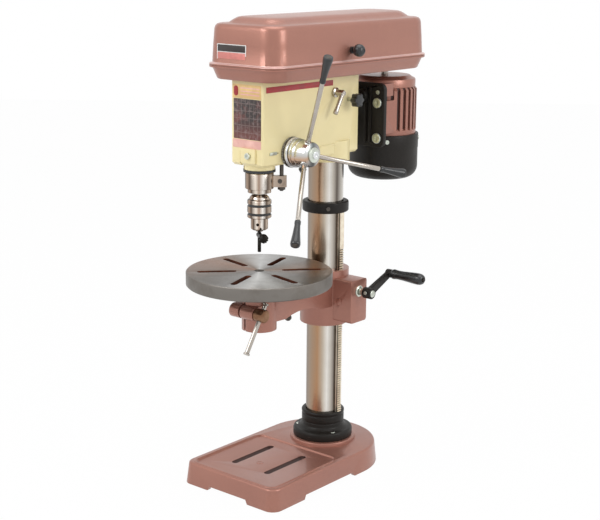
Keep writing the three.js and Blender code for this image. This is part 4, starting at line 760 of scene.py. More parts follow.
def make_finishes():
    """Makes every finish once; the pieces take them by name."""
    tint = colours()
    spindle = at(0, SPINDLE_Y, 0)
    feed = at(0, FEED_Y, FEED_Z)
    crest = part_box("rack")[1].x
    FINISHES.update({
        "rose": enamel("rose_enamel", "rose_enamel", tint.rose, tint.rose_shade, 0.9, metal=0.5),
        "cream": enamel(
            "cream_enamel", "cream_enamel", tint.cream, tuple(part * 0.9 for part in tint.cream)
        ),
        "black": enamel(
            "black_enamel", "black_enamel", tint.black, (0.016, 0.013, 0.0105),
            gloss=0.4, peel=0.0005, clear=0.04, shine=0.22,
        ),
        "iron": turned_metal(
            "turned_iron", "machined_iron", tint.iron, (0.15, 0.13, 0.11), spindle, 0.42
        ),
        # The table's top: painted sheen in sectors
        "table_top": turned_face("faced_iron", "machined_iron", TABLE_PAINTED_SHEEN, spindle),
        "slot_wall": oiled(
            "slot_wall", "machined_iron", (0.13, 0.045, 0.025), (0.06, 0.03, 0.022), 0.55
        ),
        # Painted reflections in bands along the column
        "column": drawn("drawn_column", "ground_steel", COLUMN_PAINTED_REFLECTIONS, at(0, 0, 0)),
        "steel": turned_metal(
            "turned_steel", "ground_steel", (0.5, 0.47, 0.43), (0.33, 0.29, 0.25), spindle, 0.28
        ),
        # Quill, chuck and sleeve: painted reflections in bands round the spindle
        "quill": drawn("ground_quill", "ground_steel", CHUCK_PAINTED_REFLECTIONS, spindle, 0.24, 0.3),
        "chuck": drawn("chuck_steel", "chrome", CHUCK_PAINTED_REFLECTIONS, spindle, 0.14, 0.15),
        "knurl": drawn("knurled_chrome", "chrome", CHUCK_PAINTED_REFLECTIONS, spindle, 0.2, 0.15, knurls=90),
        "key": oiled(
            "blackened_steel", "dark_steel", (0.02, 0.018, 0.016), (0.05, 0.045, 0.04), 0.4
        ),
        "bar": lengthwise_metal("slide_bar", "ground_steel", tint.steel, (0.5, 0.47, 0.43)),
        "bronze": oiled("bronzed_steel", "dark_steel", (0.2, 0.1, 0.055), (0.34, 0.2, 0.12), 0.3),
        # Painted shade: a dark rose for the walls of the base's slots and the gaps between the
        # motor's fins
        "rose_gap": enamel(
            "rose_gap", "rose_enamel", (0.085, 0.03, 0.022), (0.045, 0.017, 0.012),
            gloss=0.5, metal=0.2,
        ),
        # Painted highlight: a pale rose for the upward faces of the lid's flange
        "rose_bead": enamel(
            "rose_bead", "rose_enamel", (0.62, 0.4, 0.36), (0.5, 0.3, 0.27), 0.2, 0.24, 0.5
        ),
        "label_rose": moulded("badge_rose", "rose_enamel", (0.6, 0.2, 0.17), 0.3),
        "label_black": moulded("badge_black", "black_plastic", (0.02, 0.012, 0.01), 0.3),
        "chrome": polished("chrome", "chrome", tint.chrome, 0.09),
        "satin": lengthwise_metal(
            "satin_chrome", "chrome", tint.chrome, (0.6, 0.6, 0.6), "X", 0.2, 1500
        ),
        # Painted reflections in bands round the hub
        "hub": drawn("hub_chrome", "chrome", HUB_PAINTED_REFLECTIONS, feed, 0.16, 0.1, "YZ"),
        "rod": polished("rod_chrome", "chrome", (0.47, 0.43, 0.385), 0.14),
        "dark": oiled("oiled_steel", "dark_steel", tint.dark_steel, (0.15, 0.135, 0.12)),
        "rack": toothed("rack_steel", "dark_steel", crest - mm(3), crest - mm(1.4)),
        "zinc": oiled("zinc_plate", "alloy", tint.zinc, (0.42, 0.44, 0.38), 0.26),
        "alloy": turned_metal(
            "cast_alloy", "alloy", (0.6, 0.61, 0.6), (0.45, 0.45, 0.44), at(0, -30, 0), 0.3
        ),
        "plastic": moulded("black_plastic", "black_plastic", tint.plastic),
        "rubber": moulded("belt_rubber", "belt_rubber", (0.018, 0.018, 0.019), 0.55, 700),
        "green": moulded("green_button", "green_plastic", (0.02, 0.24, 0.05)),
        "red": moulded("red_button", "red_plastic", (0.48, 0.02, 0.016)),
        "label_red": moulded("stripe_red", "red_plastic", (0.33, 0.012, 0.016), 0.3),
        "label_gold": moulded("band_gold", "alloy", (0.72, 0.47, 0.2), 0.3),
        "label_pink": moulded("band_pink", "rose_enamel", (0.78, 0.42, 0.36), 0.35),
        "label_dark": charted("chart_dark", "black_plastic"),
        "label_silver": moulded("badge_silver", "alloy", (0.7, 0.68, 0.65), 0.3),
        "dial_marks": moulded("dial_marks", "alloy", (0.75, 0.75, 0.7), 0.4),
    })


# Fitting a piece into the machine


def fit_out(piece, shade, body, *replaced):
    """Gives a piece its finish, its body and the nodes that it stands for."""
    finish = FINISHES[shade]
    piece.data.materials.clear()
    piece.data.materials.append(finish.material)
    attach(piece, body)
    if replaced:
        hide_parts(*replaced)
    return piece


def repaint(piece, shade, test):
    """Gives a further finish to the faces that pass a test."""
    piece.data.materials.append(FINISHES[shade].material)
    for face in piece.data.polygons:
        if test(face):
            face.material_index = len(piece.data.materials) - 1


def paint_node(node, shade):
    """A node whose form is right keeps it, and takes a fuller finish."""
    materials = nodes[node].data.materials
    if len(materials) == 0:
        materials.append(None)
    for index in range(len(materials)):
        materials[index] = FINISHES[shade].material


def dress_node(node, shade, body, edge=0):
    """A rounded and smoothed stand-in for a node."""
    piece = soften(copy_of(node, node + "_dressed"), edge or sizes().fine_edge * 1000)
    return fit_out(piece, shade, body, node)


def thin_plate(name, low, high, shade, corner=1.5):
    """A thin printed plate with rounded corners, lying on a face."""
    piece = block(name, low, high)
    spans = high - low
    thin = min(range(3), key=lambda axis: spans[axis])
    round_along(piece, thin, mm(corner), 5)
    return fit_out(soften(piece, 0.12), shade, "stand")


# Pieces


def build_base():
    """A hollow plinth with a bead, a sloping tray, two slots and a pad for the column."""
    top = 45
    body = plate_rings("base_dressed", BASE_PLAN, [(0, 0), (4, 41), (4.3, top)])
    points = body.data.vertices
    choose(body, "edges", lambda edge: all(points[i].co.z > mm(top - 0.1) for i in edge.vertices))
    bpy.ops.mesh.bevel(offset=mm(4.2), segments=4, affect="EDGES")
    leave()
    profile = [(0, 40), (70, 40), (70, 49.5), (69.2, 51.3), (67.5, 52), (0, 52)]
    pad = spun("base_pad", profile, at(0, 0, 0))
    bead = block("base_bead", at(-112, -294, 38), at(112, -90, 46.2))
    round_along(bead, 2, mm(20))
    run_modifier(
        bead, "BEVEL", width=mm(1.5), segments=3, limit_method="ANGLE",
        angle_limit=math.radians(50),
    )
    body = unite(body, bead, pad)

    hollow = plate_rings("base_hollow", BASE_HOLLOW_PLAN, [(0, -2), (4, 33)])
    tray = block("tray", at(-104, -286, 42), at(104, -84, 60))
    round_along(tray, 2, mm(16))
    choose(tray, "vertices", lambda vertex: vertex.co.z > mm(50))
    bpy.ops.transform.resize(value=(1.13, 1.13, 1), center_override=at(0, -185, 60))
    leave()
    front = foot_arch("front_arch", at(-57, -320, -5), at(57, -250, 8.6), 0)
    side = foot_arch("side_arch", at(-140, -212, -5), at(140, -43, 8.6), 1)
    slots = [
        slot_block(f"base_slot_{x}", at(x, -230, 0), at(x, -120, 0), 14, 20, 60)
        for x in (-BASE_SLOT_X, BASE_SLOT_X)
    ]
    carve(body, hollow, tray, front, side, *slots)
    fit_out(soften(body, 1.0, 35, 34, 3), "rose", "stand", "base")

    # Painted shade: the upright walls of the two slots take the dark rose finish
    def in_slot(face):
        spot = spot_of(face)
        beside = abs(abs(spot.x) - BASE_SLOT_X) < 7.6
        upright = abs(face.normal.z) < 0.4
        return upright and beside and -239 < spot.y < -111 and 21 < spot.z < 41.5

    repaint(body, "rose_gap", in_slot)
    profile = [(0, 41.8), (7.5, 41.8), (7, 42.7), (5.6, 42.9), (5, 42.3), (0, 42.3)]
    mark = spun("base_mark", profile, at(-3, -200, 0), steps=40)
    fit_out(soften(mark, 0.2), "rose", "stand")


def build_column():
    """The column's tube, its foot with screws, the rack and the rack's collar."""
    axis = at(0, 0, 0)
    tube = closed([(31, 52.3), (36.5, 52.3), (36.5, 744), (35.5, 745), (31, 745)])
    fit_out(soften(spun("column_dressed", tube, axis)), "column", "stand", "column")
    profile = closed([
        (37, 52.3), (62, 52.3), (63, 53.3), (63, 65.5), (61.8, 68.6), (59.4, 69.8),
        *quarter((59, 79), -14, 9), (45, 84), (44.4, 84.6), (44.4, 86.4), (45, 87), (45, 99),
        (43.8, 100), (43.8, 102.5), (45.4, 103.8), (45.4, 107.5), (43.8, 109.6), (41, 110),
        (37, 110),
    ])
    foot = soften(spun("foot_dressed", profile, axis), 0.6)
    fit_out(foot, "black", "stand", "column_flange")
    screws = []
    for index in range(3):
        a = math.radians(-27 + 120 * index)
        place = at(52 * math.cos(a), 52 * math.sin(a), 66)
        screws.append(bolt(f"foot_screw_{index}", place, UP, 5.5, 5))
    fit_out(gather("foot_screws", *screws), "zinc", "stand")
    ring = closed([(37, 541), (46, 541), (48, 543), (48, 561), (46, 563), (37, 563)])
    collar = soften(spun("collar_dressed", ring, axis), 1.2, segments=3)
    fit_out(collar, "black", "stand", "rack_collar")
    grub = bolt("collar_screw", at(34, -33.5, 552), Vector((0.71, -0.7, 0)), 4.2, 2.2)
    fit_out(grub, "dark", "stand")
    paint_node("rack", "rack")


def build_table():
    """The slotted disc on its stem, with ribs underneath."""
    top, under = 449.5, 438.5
    profile = closed([
        (9.5, 335), (14, 335), (15, 336), (15, 422.9), (32, 422.9), (32, under), (136, under),
        (136, 424), (137.5, 422.9), (143, 422.9), (145, 425), (145, 447.9), (143.6, 449.4),
        (10, top), (9.5, 449),
    ])
    centre = at(0, SPINDLE_Y, 0)
    number = sizes().table_slots
    disc = spun("table_dressed", profile, centre, steps=144)
    carve(disc, *star_slots("table_slot", number, SPINDLE_Y, 51.5, 116.5, -13, 13, 420, 470))
    fit_out(soften(disc, 0.5, 35, 30), "iron", "table", "table")

    def in_slot(face):
        spot = spot_of(face)
        inside = 40 < reach_of(spot, SPINDLE_Y) < 130 and spot.z > under - 0.5
        return inside and abs(face.normal.z) < 0.5

    repaint(disc, "slot_wall", in_slot)
    # The top faces take the faced finish with its painted sheen
    repaint(disc, "table_top", lambda face: face.normal.z > 0.9 and spot_of(face).z > top - 0.5)
    ribs = []
    for index in range(number):
        turn = (math.radians(17 + 360 / number * index), "Z", centre)
        rib = block(f"rib_{index}", at(30, SPINDLE_Y - 3, 430), at(136, SPINDLE_Y + 3, 438.6))
        ribs.append(move(rib, f"table_rib_{index}", turn=turn))
    fit_out(soften(gather("table_ribs", *ribs), 0.8), "iron", "table")


def build_bracket():
    """The bracket, its gear box, the column lock, and the clamp screw with its sliding bar."""
    piece = soften(copy_of("table_bracket", "bracket_dressed"), 1.4, 33, 40, 3)
    fit_out(piece, "rose", "bracket", "table_bracket")
    ring = closed([(8, 91), (12, 91), (11.6, 93.2), (10, 94.4), (8, 94.4)])
    shoulder = spun("gearbox_ring", ring, at(0, 0, CRANK_Z), RIGHT)
    fit_out(soften(shoulder, 0.3), "zinc", "bracket")
    paint_node("pinion_gear", "dark")
    hub = (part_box("pinion_gear")[0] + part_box("pinion_gear")[1]) / 2
    face = Vector((hub.x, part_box("pinion_gear")[0].y, hub.z))
    profile = closed([(5.3, 0), (7.2, 0), (6.8, 1.3), (0, 1.6), (0, 0.3), (5.3, 0.3)])
    cap = spun("gearbox_cap", profile, face, FRONT, 32)
    fit_out(soften(cap, 0.2), "rose", "bracket")
    dress_node("column_lock", "dark", "column_lock")

    profile = [
        (0, -38), (5.4, -38), (6, -37), (6, 27.3), (11.5, 27.3), (13, 28.6), (13, 48.6),
        (11.4, 50.3), (0, 50.3),
    ]
    screw = spun("clamp_screw_dressed", profile, at(0, CLAMP_Y, CLAMP_Z), RIGHT, 40)
    lean = math.radians(32)
    along = Vector((0, math.sin(lean), math.cos(lean)))
    middle = at(38.8, CLAMP_Y, CLAMP_Z)
    carve(screw, spun("clamp_bore", [(0, -40), (5, -40), (5, 40), (0, 40)], middle, along, 24))
    fit_out(soften(screw, 0.4), "bronze", "clamp_screw", "clamp_screw")
    profile = [
        (0, 26.3), (5.8, 26), (6.4, 25), (6.4, 22.6), (5.8, 21.8), (4.5, 21.2),
        (4.5, -77.6), (5.8, -78.2), (6.4, -79), (6.4, -81.4), (5.8, -82.4), (0, -82.7),
    ]
    bar = spun("clamp_bar_dressed", profile, middle, along, 32)
    fit_out(soften(bar), "rod", "clamp_bar", "clamp_bar")


def build_crank():
    """The crank's arm with its hub, its end and its pin, and the turning grip."""
    axis = at(0, 0, CRANK_Z)
    pin_axis = at(0, CRANK_PIN_Y, CRANK_PIN_Z)
    lift = CRANK_PIN_Z - CRANK_Z
    reach = math.hypot(CRANK_PIN_Y, lift)
    profile = closed([(7.9, 106), (10.6, 106), (11.5, 107), (11.5, 124.6), (10.4, 126), (7.9, 126)])
    hub = spun("crank_hub", profile, axis, RIGHT, 48)
    arm = block("crank_bar", at(111, 4, -8.2), at(121, reach - 3, 8.2))
    choose(arm, "vertices", lambda vertex: vertex.co.y > at(0, 40, 0).y)
    bpy.ops.transform.resize(value=(0.9, 1, 0.72), center_override=at(116, reach, 0))
    leave()
    turn = (math.atan2(lift, CRANK_PIN_Y), "X", at(116, 0, 0))
    arm = move(arm, "crank_bar_turned", turn=turn, shift=UP * mm(CRANK_Z))
    profile = [(0, 110.8), (8.3, 110.8), (8.8, 112), (8.8, 122.6), (7.6, 124), (0, 124)]
    end = spun("crank_end", profile, pin_axis, RIGHT, 40)
    profile = [(0, 120), (4, 120), (4, 203.6), (3.4, 204.8), (0, 204.8)]
    pin = spun("crank_pin", profile, pin_axis, RIGHT, 24)
    whole = soften(unite(hub, arm, end, pin), 1.2, 35, 40, 3)
    fit_out(whole, "black", "crank", "crank_arm")
    profile = [(0, 94), (7.4, 94), (7.4, 126.6), (6.4, 127.6), (0, 127.6)]
    stub = spun("crank_shaft_end", profile, axis, RIGHT, 40)
    fit_out(soften(stub, 0.3), "zinc", "crank", "worm_shaft")
    grub = bolt("crank_screw", at(116, -10.4, 385), Vector((0, -1, 0.15)), 3.6, 2)
    fit_out(grub, "zinc", "crank")
    profile = closed([
        (4.6, 124.3), (8.4, 124.3), (9.6, 126), (10.6, 129), (10.2, 132), (9.4, 139), (9.6, 152),
        (10.8, 168), (11.8, 182), (12, 190), (11.2, 196.5), (9, 200.8), (6.6, 202.3), (4.6, 202.3),
    ])
    grip = spun("crank_grip_dressed", profile, pin_axis, RIGHT, 48)
    fit_out(soften(grip, 0.4), "plastic", "crank_grip", "crank_grip")


def build_head():
    """The head casting with its printed plates, its lock bolt and the depth pointer."""
    piece = soften(copy_of("head_casting", "head_dressed"), 1.5, 33, 40, 3)
    fit_out(piece, "cream", "stand", "head_casting")

    def front_plate(name, left, right, low, high, proud, sunk, shade, *corner):
        near = at(left, HEAD_FRONT - proud, low)
        thin_plate(name, near, at(right, HEAD_FRONT + sunk, high), shade, *corner)

    front_plate("chart_gold", -36, 36, 792, 818, 0.5, 0.3, "label_gold")
    front_plate("chart_field", -34, 36, 714, 791, 0.5, 0.3, "label_dark")
    front_plate("chart_foot", -36, 36, 697, 713, 0.5, 0.3, "label_pink")
    front_plate("chart_mark", -33, -22, 796, 815, 0.9, -0.2, "label_red", 5)
    for index in range(3):
        low = 798 + 6.2 * index
        front_plate(f"chart_bar_{index}", -16, 32, low, low + 2.2, 0.7, -0.2, "label_pink", 0.8)
    near, far = at(HEAD_SIDE - 0.3, -234, 804), at(HEAD_SIDE + 0.5, -33, 815)
    thin_plate("side_stripe", near, far, "label_red", 1)

    step = block("lock_step", at(-14, -246.5, 668), at(24, -240, 697))
    round_along(step, 1, mm(3.5), 5)
    fit_out(soften(step, 1.2, segments=3), "cream", "stand")
    lock = bolt("lock_bolt", at(7, -246.5, 683), FRONT, 6.4, 5)
    fit_out(lock, "zinc", "stand")
    near, far = at(HEAD_SIDE - 0.2, -224, 684.5), at(HEAD_SIDE + 2.4, -204, 690.5)
    pointer = round_along(block("depth_pointer", near, far), 0, mm(1.4), 4)
    fit_out(soften(pointer, 0.4), "zinc", "stand")
    tip = block("pointer_tip", at(HEAD_SIDE, -206, 686.8), at(HEAD_SIDE + 1.6, -199, 688.2))
    fit_out(soften(tip, 0.3), "dark", "stand")
    rib = block("side_step", at(HEAD_SIDE - 0.5, -70, 684), at(HEAD_SIDE + 1.6, -18, 687))
    round_along(rib, 1, mm(0.9), 3)
    fit_out(soften(rib, 0.4), "cream", "stand")
    profile = [
        (0, 0), (2.4, 0), (2.4, 9), (6.5, 9.6), (7, 10.6), (7, 17.4), (6.2, 18.6), (0, 18.6),
    ]
    knob = spun("dial_lock", profile, at(48, -143, 660.6), Vector((0.2, 0.6, -1)), 28)
    fit_out(soften(knob, 0.3), "plastic", "dial")


def build_switch():
    """The switch box with its two buttons and their bezels."""
    dress_node("switch_box", "plastic", "stand", 1.2)
    dress_node("start_button", "green", "start_button", 0.8)
    dress_node("stop_button", "red", "stop_button", 0.8)
    ring = closed([(10, 70.9), (12.4, 70.9), (12, 73), (10.6, 73.2), (10, 72.6)])
    bezel = spun("button_bezels", ring, at(0, -170, 790), LEFT, 40)
    lower = twin(bezel, "button_bezel_low", shift=Vector((0, 0, mm(-30))))
    fit_out(soften(gather("button_bezels", bezel, lower)), "zinc", "stand")


def hinge_half(name, spans, leaf_low, leaf_high):
    """Knuckles and leaves of one half of the lid's two hinges."""
    parts = []
    for y in HINGE_YS:
        for start, end in spans:
            tube = closed([(2.9, start), (6, start), (6, end), (2.9, end)])
            place = at(HINGE_X, y, HINGE_Z)
            parts.append(spun(f"{name}_{y}_{start}", tube, place, BACK, 32))
            low = at(HINGE_X, y + start, leaf_low)
            high = at(HINGE_X + 10, y + end, leaf_high)
            parts.append(block(f"{name}_leaf_{y}_{start}", low, high))
    return soften(gather(name, *parts), 0.3)


def build_cover():
    """The belt pan, the hollow lid on its hinges, the lid's knob and its bare badge."""
    pan = plate_rings("pan_dressed", COVER_PLAN, [
        (13, 826), (11.5, 827.4), (8, 838), (4.6, 848), (0.6, 848), (0, 849), (0, 851.4),
        (0.4, 851.9),
    ])
    space = plate_rings("pan_space", COVER_PLAN, [(14.5, 829), (7.2, 848), (7.2, 860)])
    profile = [(0, 800), (27, 800), (27, 850), (0, 850)]
    hole = spun("pan_hole", profile, at(0, SPINDLE_Y, 0), steps=48)
    track = slot_block("pan_track", at(0, 181, 0), at(0, MOTOR_Y, 0), 30, 800, 850)
    carve(pan, space, hole, track)
    fit_out(soften(pan, 0.4, 35, 40), "rose", "stand", "belt_pan")

    lid = plate_rings("lid_dressed", COVER_PLAN, [
        (0.3, 852.3), (0, 852.8), (0, 855.2), (0.8, 856.2), (3.6, 856.8), (4.7, 858.2),
        (6.2, 892), (8, 921), (9.4, 926), (12, 929.6), (15.5, 931), (25, 931.6), (30, 933),
        (36, 938), (42, 942), (47, 943.4), (56, 944.2), (76, 945.2),
    ])
    space = plate_rings("lid_space", COVER_PLAN, [
        (7.6, 845), (7.6, 857), (10.6, 918), (14, 926), (27, 929), (38, 936), (49, 940),
    ])
    carve(lid, space)
    fit_out(soften(lid, 0.35, 40, 42), "rose", "lid", "belt_lid")
    # Painted highlight: the upward faces of the flange take a pale rose band
    repaint(lid, "rose_bead", lambda face: face.normal.z > 0.05 and 854.8 < spot_of(face).z < 858.3)
    fit_out(hinge_half("lid_knuckles", [(-13, 13)], 852.4, 856), "rose", "lid")
    fit_out(hinge_half("pan_knuckles", [(-39, -13.5), (13.5, 39)], 848.2, 851.8), "rose", "stand")
    dress_node("lid_hinge_pin", "zinc", "stand")

    face = 117.3
    profile = [
        (0, 88), (7, 88), (7, 92.6), (4.6, 93.8), (4.6, 96), (7.8, 97.4), (10.8, 99.6), (12.3, 103),
        (12.5, 106.2), (11.6, 110.8), (9.2, 114.6), (5.4, 117.2), (4.2, face), (3.6, 116.2),
        (0, 116),
    ]
    shift = Vector((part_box("lid_knob")[1].x - at(face, 0, 0).x, 0, 0))
    knob = spun("lid_knob_dressed", profile, at(0, -36, 877) + shift, RIGHT, 48)
    fit_out(soften(knob), "plastic", "lid", "lid_knob")
    lean = -math.atan2(3.2, 69) / 2
    badge = block("badge", at(-56, -265.6, 865), at(18, -264.4, 894))
    round_along(badge, 1, mm(1.5), 4)
    field = block("badge_field", at(-54, -266, 866.5), at(16, -265.4, 878.5))
    band = block("badge_band", at(-54, -266, 880), at(16, -265.4, 892.5))
    for piece, shade in ((badge, "label_silver"), (field, "label_rose"), (band, "label_black")):
        turn = (lean, "X", at(0, -265, 866))
        piece = move(piece, piece.name + "_leaning", turn=turn, shift=Vector((0, mm(0.8), 0)))
        fit_out(soften(piece, 0.1), shade, "lid")


def build_drive():
    """Pulleys, belts and the idler's arm."""
    for node, shade, body in (
        ("spindle_pulley", "alloy", "top_pulley"), ("idler_pulley", "alloy", "idler"),
        ("motor_pulley", "alloy", "rotor"), ("idler_arm", "dark", "stand"),
        ("belt_front", "rubber", "stand"), ("belt_rear", "rubber", "stand"),
    ):
        dress_node(node, shade, body, 0.6)


def build_mount():
    """The motor's mounting plate with its ribs and bolts."""
    plate = soften(copy_of("motor_mount", "mount_dressed"), 1.2, 33, 40)
    fit_out(plate, "black", "motor", "motor_mount")
    ribs = []
    for x in (32, 44):
        rib = block(f"mount_rib_{x}", at(x - 3, 86.5, 676), at(x + 3, 91, 792))
        ribs.append(soften(round_along(rib, 1, mm(2.6), 5), 1.2))
    fit_out(gather("mount_ribs", *ribs), "black", "motor")
    heads = [
        bolt(f"mount_bolt_{x}_{z}", at(x, 90, z), FRONT, 10.6, 4.6, 4)
        for x, z in ((62, 760), (62, 687), (-62, 760), (-62, 687))
    ]
    heads.append(bolt("mount_screw", at(62, 90, 782), FRONT, 4.4, 2.2, 4))
    fit_out(gather("mount_bolts", *heads), "zinc", "motor")


def build_motor():
    """The ribbed motor on its mounting plate, with its fan cover, terminal box and slide bars."""
    build_mount()
    axis = at(0, MOTOR_Y, 0)
    barrel_radius, fin = 65, 5
    faces = sizes().motor_fins * 4
    deselect()
    bpy.ops.mesh.primitive_cylinder_add(
        vertices=faces, radius=mm(barrel_radius), depth=mm(92), location=at(0, MOTOR_Y, 738.5)
    )
    barrel = settle("motor_dressed")

    def on_fin(face):
        spot = face.center - axis
        share = math.atan2(spot.y, spot.x) / (math.tau / faces)
        return abs(face.normal.z) < 0.1 and math.floor(share) % 4 < 2

    choose(barrel, "polygons", on_fin)
    bpy.ops.mesh.extrude_region_shrink_fatten(TRANSFORM_OT_shrink_fatten={"value": mm(fin)})
    leave()

    def at_fin_top(vertex):
        return vertex.co.z > mm(784) and (vertex.co - axis).to_2d().length > mm(68)

    choose(barrel, "vertices", at_fin_top)
    bpy.ops.transform.translate(value=(0, 0, -mm(6)))
    leave()
    cap = spun("motor_cap", [
        (0, 782), (63, 782), (66.5, 784.6), (66.5, 798), (65, 801), (60, 803), (54, 807.6),
        (20, 808), (9, 808), (0, 808),
    ], axis)
    foot = round_along(block("motor_foot", at(-58, 100.3, 692), at(58, 160, 760)), 2, mm(4), 4)
    lug = round_along(block("motor_lug", at(34, 118, 770), at(58, 152, 796)), 2, mm(4), 4)
    profile = [(0, 684.4), (69.6, 684.4), (69.6, 694), (66, 697), (0, 697)]
    skirt = spun("motor_skirt", profile, axis)
    body = unite(barrel, cap, foot, lug, skirt)
    carve(body, spun("motor_bore", [(0, 680), (8.4, 680), (8.4, 812), (0, 812)], axis, steps=32))
    fit_out(soften(body, 0.8, 35, 35), "rose", "motor", "motor_frame")

    # Painted shade: the barrel's faces between the fins take the dark rose finish
    def shaded_fin_gaps(face):
        spot = face.center - axis
        level = mm(barrel_radius - 1) < spot.to_2d().length < mm(barrel_radius + 0.4)
        return level and abs(face.normal.z) < 0.3 and mm(697) < spot.z < mm(783)

    repaint(body, "rose_gap", shaded_fin_gaps)
    profile = [
        (0, 588), *quarter((49, 614), 26, 26), (75, 652), (75.6, 654), (75.6, 682.6), (75, 684),
        (67, 684), (67, 681), (72, 681), *reversed(quarter((49, 614), 23, 23)), (0, 591),
    ]
    bowl = spun("fan_cover_dressed", profile, axis)
    carve(bowl, *star_slots("vent", 6, MOTOR_Y, 20, 44, 0, 7, 580, 596))
    fit_out(soften(bowl, 0.4, 35, 35), "black", "motor", "fan_cover")
    screws = []
    for index in range(4):
        a = math.radians(-47 + 90 * index)
        outward = Vector((math.cos(a), math.sin(a), 0))
        place = at(0, MOTOR_Y, 672) + outward * mm(75.2)
        screws.append(bolt(f"cover_screw_{index}", place, outward, 4.6, 2.4, 4))
    fit_out(gather("cover_screws", *screws), "zinc", "motor")
    dress_node("terminal_box", "plastic", "motor", 1.5)
    dress_node("slide_bar_right", "bar", "motor")
    dress_node("slide_bar_left", "bar", "motor")
    paint_node("motor_shaft", "steel")
    dress_node("cooling_fan", "plastic", "rotor")


def build_tension():
    """The lever and the lobed knob that set the belts' tension."""
    axis = at(0, LEVER_Y, LEVER_Z)
    lean = math.radians(30)
    down = Vector((0, -math.sin(lean), -math.cos(lean)))
    profile = [
        (0, 20), (6, 20), (6, 41.6), (9.6, 41.8), (9.6, 46), (6.2, 47.4), (6.2, 63), (5, 66),
        (0, 66.6),
    ]
    boss = spun("lever_shaft", profile, axis, RIGHT, 40)
    profile = [
        (0, -5.4), (3.6, -5.2), (5.2, -3.4), (5.4, 0), (4.6, 10), (4.3, 30), (5.2, 38),
        (5.2, 44.4), (4.4, 46), (2.4, 46), (2.2, 40), (0, 40),
    ]
    rod = spun("lever_rod", profile, at(61.5, LEVER_Y, LEVER_Z), down, 32)
    lever = soften(unite(boss, rod), 0.5, 35, 45, 3)
    fit_out(lever, "rod", "tension_lever", "tension_lever")
    axis = at(0, TENSION_Y, TENSION_Z)
    stud = spun("tension_stud", [(0, 33.4), (4, 33.4), (4, 60), (0, 60)], axis, RIGHT, 24)
    fit_out(soften(stud), "zinc", "tension_knob")
    profile = [(0, 56), (10.6, 56), (11, 57.5), (11, 70), (9.6, 71.6), (6, 72), (0, 72)]
    knob = spun("tension_knob_dressed", profile, axis, RIGHT, 48)
    profile = [(0, 56.4), (3.6, 56.4), (4.2, 57.4), (4.2, 70.2), (3.4, 71.2), (0, 71.2)]
    lobes = []
    for index in range(6):
        a = math.tau * index / 6
        centre = at(0, TENSION_Y + 10 * math.cos(a), TENSION_Z + 10 * math.sin(a))
        lobes.append(spun(f"lobe_{index}", profile, centre, RIGHT, 20))
    whole = soften(unite(knob, *lobes), 0.5, 35, 40)
    fit_out(whole, "plastic", "tension_knob", "tension_knob")


def build_dial(centre):
    """The depth dial: a dark drum with marks, and its satin rim."""
    radius, face = 30, 42.6
    profile = closed([(11.6, 41.7), (29.8, 41.7), (radius, 42.4), (radius, 48), (11.6, 48)])
    drum = spun("dial_dressed", profile, centre, RIGHT)
    fit_out(soften(drum, 0.3), "dark", "dial", "depth_dial")
    profile = closed([
        (11.6, 48.1), (29.4, 48.1), (29.4, 50.8), (28.7, 51.2), (28.7, 51.9), (29.4, 52.3),
        (28.6, 54.6), (11.6, 54.6),
    ])
    rim = spun("dial_rim", profile, centre, RIGHT)
    fit_out(soften(rim, 0.5), "satin", "dial")
    number = sizes().dial_ticks
    ticks = []
    for index in range(number):
        a = math.tau * index / number
        length = 2.6 if index % 5 else 4.6
        place = centre + Vector((0, math.cos(a), math.sin(a))) * mm(radius)
        near = Vector((at(face, 0, 0).x, -mm(0.4), -mm(0.3)))
        far = Vector((at(face + length, 0, 0).x, mm(0.4), mm(0.3)))
        tick = block(f"tick_{index}", near, far)
        pick(tick)
        tick.rotation_euler.x = a - math.pi / 2
        tick.location = (0, place.y, place.z)
        ticks.append(settle(tick.name))
    fit_out(gather("dial_ticks", *ticks), "dial_marks", "dial")


